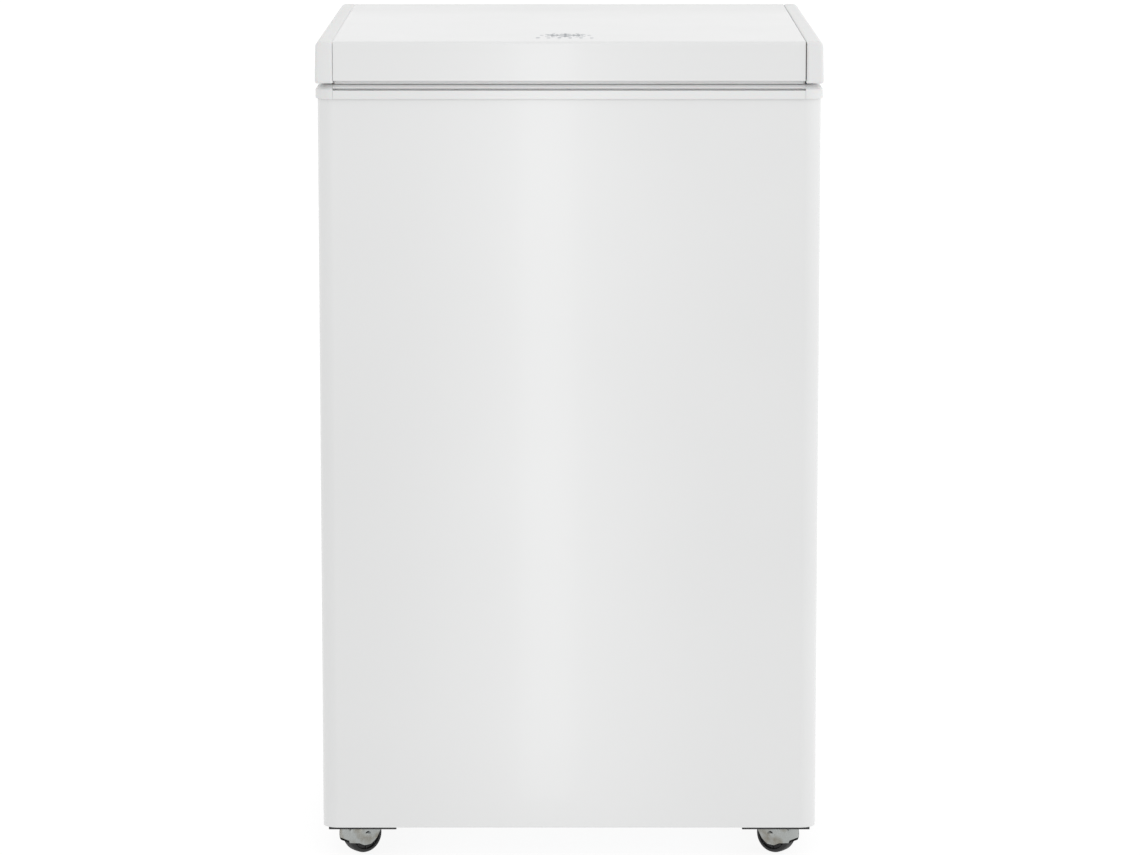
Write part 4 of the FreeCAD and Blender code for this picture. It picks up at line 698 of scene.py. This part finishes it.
def lid_lip(plastic):
    """Lip that hangs from the flange of the inner panel, close inside the lid's edge."""
    half = box("lid_inner_panel")[1].x - 1.5
    front, back = -266.0, 252.0
    flange = box("lid_skin")[0].z + 0.75
    foot = box("rim_front")[1].z + 0.5
    section = rounded([(0, flange), (0, foot), (-1.8, foot), (-2.2, flange)], [0.3, 0.6, 0.6, 0.3], 4)
    shape = bmesh.new()
    ring(shape, section, mouth_path(half, front, back, 4.0, 8))
    finish_piece("lid_liner_lip", shape, "lid", plastic, [])


def lid_gasket(rubber):
    """Soft seal with a ribbed bulb, held in the lid's channel by its dart."""
    low, high = box("lid_gasket")
    flange = box("lid_skin")[0].z + 0.7
    width = 14.0
    half = high.x - width / 2
    front, back = low.y + width / 2, high.y - width / 2
    ribs = [(-6.4, 0.7), (-5.2, 0.25), (-4.0, 0.9), (-2.6, 0.1), (0.0, 0.0), (2.6, 0.1), (4.0, 0.9),
            (5.2, 0.25), (6.4, 0.7)]
    section = [(out, low.z + up) for out, up in ribs]
    section += [(7.0, low.z + 1.3), (6.6, flange - 0.1), (2.4, flange - 0.1), (1.6, flange + 4.5),
                (0.0, flange + 4.9), (-1.6, flange + 4.5), (-2.4, flange - 0.1), (-6.6, flange - 0.1),
                (-7.0, low.z + 1.3)]
    shape = bmesh.new()
    ring(shape, section, mouth_path(half, front, back, 9.0, 8))
    finish_piece("lid_seal", shape, "lid", rubber, ["lid_gasket"], 50)


def lid_badge(ink):
    """Generic frost mark: six branched arms, a ring of dots, and a row of short bars under it."""
    low, high = box("lid_badge")
    middle = (low + high) / 2
    deck, thick = low.z, 0.15
    shape = bmesh.new()

    def stroke(x, y, angle, length, width):
        """A bar with round ends that starts at a place and runs along an angle."""
        half, cap = width / 2, 5
        outline = []
        for end, turned in ((length, -90), (0, 90)):
            outline += [(end + half * math.cos(math.radians(turned + 180 * k / cap)),
                         half * math.sin(math.radians(turned + 180 * k / cap))) for k in range(cap + 1)]
        turn = Matrix.Rotation(angle, 2)
        outline = [turn @ Vector(point) + Vector((x, y)) for point in outline]
        prism(shape, outline, deck, deck + thick, lambda a, b, up: (a, b, up))

    centre = Vector((middle.x, middle.y + 6))
    for arm in range(6):
        angle = math.radians(30 + 60 * arm)
        along = Vector((math.cos(angle), math.sin(angle)))
        stroke(*(centre + along * 2.5), angle, 20.0, 2.4)
        for branch, reach in ((9.0, 7.0), (15.0, 5.0)):
            for turned in (-50, 50):
                stroke(*(centre + along * branch), angle + math.radians(turned), reach, 1.5)
        dot = centre + Vector((math.cos(angle + math.pi / 6), math.sin(angle + math.pi / 6))) * 24
        stroke(*dot, angle, 0.6, 3.2)
    for number, length in enumerate((7, 4, 9, 5, 6, 4)):
        stroke(middle.x - 28 + 11 * number, middle.y - 30, math.pi / 2, length, 3.6)
    finish_piece("frost_mark", shape, "lid", ink, ["lid_badge"], 50)


# ---------------------------------------------------------------- casters
WHEEL_RADIUS = 20.0
FORK_RADIUS = 22.5


class Caster:
    """Places of one caster: x across it, y the way it trails, z up."""

    def __init__(self, name):
        self.name = name
        self.swivel = joint_place(f"caster_{name}_swivel")
        self.wheel = joint_place(f"wheel_{name}_spin")
        trail = Vector((self.wheel.x - self.swivel.x, self.wheel.y - self.swivel.y, 0))
        self.trail = trail.length
        self.along = trail.normalized()
        self.across = self.along.cross(Vector((0, 0, 1)))

    def place(self, across, along, height):
        foot = Vector((self.swivel.x, self.swivel.y, 0))
        return foot + self.across * across + self.along * along + Vector((0, 0, height))

    def round_axle(self, out, angle, across):
        """A place at a distance and an angle from the axle."""
        return self.place(across, self.trail + out * math.cos(angle), self.wheel.z + out * math.sin(angle))


def fork_outline(trail, centre):
    """Side view of a cheek: it follows the wheel in front and above, with a tongue under the axle."""
    corners = [(trail - 21, centre - 6.5), (trail - 10, centre - 8.5), (trail - 3.5, centre - 11.5),
               (trail + 5, centre - 11), (trail + 12, centre - 5.5), (trail + 20.5, centre + 9.5)]
    lower = rounded_open(corners, [2.0, 6.0, 5.0, 5.0, 9.0, 2.0])
    start, end = math.atan2(9.5, 20.5), math.pi + math.atan2(6.5, 21)
    steps = 22
    arch = [(trail + FORK_RADIUS * math.cos(start + (end - start) * k / steps),
             centre + FORK_RADIUS * math.sin(start + (end - start) * k / steps)) for k in range(1, steps)]
    return lower + arch


def caster_hood(caster, zinc):
    """Pressed hood: two dished cheeks joined by an arch over the wheel, with a race boss on top."""
    name = caster.name
    centre = caster.wheel.z
    trail, half, gauge = caster.trail, 10.5, 1.2
    roof = 42.8
    outline = fork_outline(trail, centre)
    shape = bmesh.new()
    hub = Vector((trail, centre))
    dish = [(0.0, 1.5), (0.02, 0.7), (0.06, 0.15), (0.12, 0.0), (0.45, 0.0), (0.5, -0.2), (0.56, -0.8),
            (0.62, -0.95), (0.8, -0.95)]

    def drawn_in(share, across):
        """The outline, drawn in toward the hub by a share of the way."""
        return [caster.place(across, *Vector(point).lerp(hub, share)) for point in outline]

    for side in (-1, 1):
        rings = [drawn_in(share, side * (half - depth)) for share, depth in dish]
        inner = [drawn_in(share, side * (half - gauge - 0.3)) for share in (0.8, 0.06, 0.03)]
        made = bridge(shape, rings + inner, closed_columns=True)
        shape.faces.new(made[len(rings) - 1])
    arch = [point for point in outline if point[1] > centre + 8 or point[0] < trail - 20]
    over = [(-half + 0.4, -1.4), (-half + 0.9, -0.5), (-half + 2.4, 0.0), (half - 2.4, 0.0),
            (half - 0.9, -0.5), (half - 0.4, -1.4), (half - 2.0, -gauge - 0.2), (-half + 2.0, -gauge - 0.2)]
    rows = []
    for along, height in arch:
        out = (Vector((along, height)) - hub).normalized()
        row = []
        for across, lift in over:
            spot = Vector((along, height)) + out * lift
            row.append(caster.place(across, spot.x, min(spot.y, roof)))
        rows.append(row)
    loft(shape, rows)
    boss = rounded([(4.15, 43), (11, 43), (12.2, 36), (4.15, 36)], [0.2, 1.2, 0.3, 0.2], 4)
    lathe(shape, boss, lambda radius, angle, height: caster.place(
        radius * math.cos(angle), radius * math.sin(angle), height), 36)
    finish_piece(f"hood_{name}", shape, f"caster_{name}", zinc, [f"caster_hood_{name}"], 45)


def caster_axle(caster, zinc):
    """Riveted axle with domed heads."""
    half, radius = 10.5, 3.0
    head = [(0.0, half + 2.3), (1.6, half + 2.1), (3.0, half + 1.6), (4.2, half + 0.8), (4.6, half + 0.3),
            (4.4, half), (radius, half)]
    profile = head + [(out, -place) for out, place in reversed(head)]
    shape = bmesh.new()
    lathe(shape, profile, caster.round_axle, 28)
    finish_piece(f"axle_{caster.name}", shape, f"caster_{caster.name}", zinc,
                 [f"caster_axle_{caster.name}"], 45)


def caster_wheel(caster, polymer):
    """Wheel with a crowned tread, a dished web with ribs, and a hub."""
    half = 8.4
    side = [(3.1, half), (6.0, half), (6.6, half - 0.5), (6.9, half - 2.0), (15.2, half - 2.0),
            (15.6, half - 0.6), (16.2, half), (18.0, half - 0.2), (19.2, half - 1.2), (19.8, half - 3.0),
            (WHEEL_RADIUS, 0.9)]
    profile = side + [(out, -place) for out, place in reversed(side)]
    shape = bmesh.new()
    lathe(shape, profile, caster.round_axle, 64)
    ribs = 8
    for number in range(ribs):
        middle = 2 * math.pi * number / ribs
        for face in (-1, 1):
            rows = []
            for out in (6.5, 15.4):
                wide = 0.8 / out
                section = [(-wide, 2.1), (wide, 2.1), (wide * 0.6, 0.7), (-wide * 0.6, 0.7)]
                rows.append([caster.round_axle(out, middle + turn, face * (half - depth))
                             for turn, depth in section])
            loft(shape, rows)
    finish_piece(f"tyre_{caster.name}", shape, f"wheel_{caster.name}", polymer,
                 [f"caster_wheel_{caster.name}"], 35)


# ---------------------------------------------------------------- basket
def basket(coating):
    """Basket of coated round wires: hoops, wires that run down, across and up, and four hooks."""
    low, high = box("basket")
    half, front, back = 177.0, low.y + 1, high.y - 1
    bottom, top = low.z + 1.2, 784.0
    thin, thick, hook, corner = 1.5, 2.5, 1.9, 20.0
    hook_half, hook_place = 9, 29
    shape = bmesh.new()

    def hoop(height, radius):
        route = [Vector((*point, height)) for point, _ in mouth_path(half, front, back, corner, 7)]
        wire(shape, route, radius, 10, True)

    hoop(top - thick, thick)
    levels, columns, rows = 6, 12, 6
    for number in range(1, levels):
        hoop(bottom + thin + (top - 10 - bottom) * (number / levels), thin)
    for number in range(1, columns):
        x = -half + 2 * half * number / columns
        near, far = front + 3, back - 3
        route = [(x, near, top - 2), (x, near, bottom), (x, far, bottom), (x, far, top - 2)]
        wire(shape, bent(route, 12), thin, 8)
    for number in range(1, rows):
        y = front + (back - front) * number / rows
        floor = bottom + 2.8
        route = [(-half + 3, y, top - 2), (-half + 3, y, floor), (half - 3, y, floor), (half - 3, y, top - 2)]
        wire(shape, bent(route, 12), thin, 8)
    shelf = box("rim_left")[1].z - 6 + 2.4
    for side in (-1, 1):
        wall, knee, tip = side * (half - 3), side * (half + 16), side * (half + 26)
        bar = side * (half + 25)
        for y in (front + hook_place, back - hook_place):
            for step in (-hook_half, hook_half):
                route = [(wall, y + step, top - 40), (wall, y + step, top - 1), (knee, y + step, shelf),
                         (tip, y + step, shelf)]
                wire(shape, bent(route, 6, 5), hook, 8)
            wire(shape, [(bar, y - 11, shelf), (bar, y + 11, shelf)], hook, 8)
    finish_piece("wire_basket", shape, "basket", coating, ["basket"], 60)


# ---------------------------------------------------------------- thermostat
def thermostat_knob(polymer):
    """Dial with a skirt, grip flutes and a raised pointer."""
    low, high = box("thermostat_knob")
    middle = (low + high) / 2
    face, back = high.y, low.y
    flutes, steps = 18, 108
    shape = bmesh.new()

    def turned(out, angle, y):
        return (middle.x + out * math.cos(angle), y, middle.z + out * math.sin(angle))

    rows = []
    for step in range(steps):
        angle = 2 * math.pi * step / steps
        grip = 12.2 + 0.45 * math.cos(flutes * angle)
        profile = [(3.1, back), (14.6, back), (15.0, back + 0.6), (15.0, back + 3.4), (14.4, back + 4.0),
                   (grip, back + 4.2), (grip, face - 1.2), (grip - 0.9, face - 0.3), (8.6, face - 0.3),
                   (8.2, face - 0.7), (3.1, face - 0.7)]
        rows.append([Vector(turned(out, angle, y)) for out, y in profile])
    bridge(shape, rows, closed_columns=True)
    lathe(shape, [(0.0, face - 0.9), (3.4, face - 0.9), (3.4, face - 0.4), (0.0, face - 0.4)], turned, 32)
    pointer = rounded([(-0.8, 8.8), (0.8, 8.8), (0.8, 13.0), (-0.8, 13.0)], 0.3, 3)
    prism(shape, pointer, face - 0.5, face - 0.02, lambda a, b, y: (middle.x + a, y, middle.z + b))
    finish_piece("dial", shape, "thermostat_knob", polymer, ["thermostat_knob"], 40)


# ---------------------------------------------------------------- CAD nodes that stay
def dress(node, material, bevel):
    """Gives a CAD node its finish: one material, welded vertices, softened edges and smooth round faces."""
    item = frame["nodes"][node]
    item.data.materials.clear()
    item.data.materials.append(material)
    for face in item.data.polygons:
        face.material_index = 0
        face.use_smooth = True
    weld = item.modifiers.new("weld", "WELD")
    weld.merge_threshold = 0.00001
    if bevel > 0:
        soft = item.modifiers.new("soft_edges", "BEVEL")
        soft.width = bevel * MM
        soft.segments = 2
        soft.limit_method = "ANGLE"
        soft.angle_limit = math.radians(30)
        soft.harden_normals = True


# Which CAD nodes stay, by finish and by how much their edges are softened.
DRESSED = {
    ("stucco", 0.0): ["liner"],
    ("foam", 0.0): ["insulation_foam"],
    ("galvanised", 0.3): ["base_tray", "compressor_cover"],
    ("black_steel", 0.4): ["base_rail_left", "base_rail_right"],
    ("black_steel", 0.5): ["compressor_feet"],
    ("black_steel", 0.8): ["compressor_shell"],
    ("hinge_steel", 0.4): ["hinge_base_left", "hinge_base_right", "hinge_arm_left", "hinge_arm_right"],
    ("spring_steel", 0.0): ["hinge_springs"],
    ("zinc", 0.15): ["hinge_screws", "lid_hinge_screws", "cover_screws"],
    ("zinc", 0.2): ["hinge_pins"],
    ("zinc", 0.3): ["caster_plates", "compressor_bolts"],
    ("rubber", 0.5): ["compressor_mounts"],
    ("black_plastic", 0.5): ["power_inlet_gland", "thermostat_body"],
    ("black_plastic", 0.6): ["relay_cover"],
    ("copper", 0.0): ["suction_tube", "discharge_tube", "capillary_tube", "sensor_tube"],
    ("copper", 0.4): ["filter_drier"],
    ("aluminium", 0.0): ["evaporator_tube"],
    ("steel_tube", 0.0): ["condenser_tube"],
    ("plastic", 0.4): ["drain_tube"],
    ("grey_plastic", 0.3): ["drain_plug"],
}


def finishes():
    return {
        "paint": painted_steel(),
        "plastic": white_plastic(),
        "stucco": stucco_sheet(),
        "foam": foam_material(),
        "galvanised": galvanised(),
        "zinc": zinc_plate(),
        "hinge_steel": zinc_plate("hinge_steel", (0.46, 0.46, 0.45), 0.2, 0.38),
        "spring_steel": zinc_plate("spring_steel", (0.36, 0.36, 0.37), 0.2, 0.35),
        "black_steel": black_paint(),
        "rubber": dark_polymer("black_rubber", (0.012, 0.012, 0.012), (0.6, 0.8)),
        "tyre": dark_polymer("tyre_polymer", (0.006, 0.006, 0.0065), (0.5, 0.7)),
        "black_plastic": dark_polymer("black_plastic", (0.015, 0.015, 0.016)),
        "grey_plastic": dark_polymer("grey_plastic", (0.32, 0.33, 0.34)),
        "seal": white_plastic("seal_vinyl", (0.70, 0.71, 0.72), 0.2),
        "copper": tube_metal("copper_tube", (0.78, 0.40, 0.26)),
        "aluminium": tube_metal("aluminium_tube", (0.8, 0.8, 0.82)),
        "steel_tube": tube_metal("steel_tube", (0.45, 0.45, 0.46)),
        "coating": white_plastic("coated_wire", (0.76, 0.77, 0.78), 0.05),
        "ink": printed_grey(),
    }


def build():
    make_camera()
    make_studio()
    finish = finishes()
    cabinet_wrap(finish["paint"])
    rim_bar("rim_front", "x", -1, finish["plastic"])
    rim_bar("rim_rear", "x", 1, finish["plastic"])
    rim_bar("rim_left", "y", -1, finish["plastic"])
    rim_bar("rim_right", "y", 1, finish["plastic"])
    rim_corners(finish["plastic"])
    rim_webs(finish["plastic"])
    rear_panel(finish["paint"])
    lid_skin(finish["paint"])
    lid_end_cap("lid_end_cap_left", -1, finish["plastic"])
    lid_end_cap("lid_end_cap_right", 1, finish["plastic"])
    lid_inner_panel(finish["plastic"])
    lid_lip(finish["plastic"])
    lid_foam_core(finish["foam"])
    lid_gasket(finish["seal"])
    lid_badge(finish["ink"])
    for name in ("front_left", "front_right", "rear_left", "rear_right"):
        caster = Caster(name)
        caster_hood(caster, finish["zinc"])
        caster_axle(caster, finish["zinc"])
        caster_wheel(caster, finish["tyre"])
    basket(finish["coating"])
    thermostat_knob(finish["grey_plastic"])
    for (look, bevel), nodes in DRESSED.items():
        for node in nodes:
            dress(node, finish[look], bevel)


build()
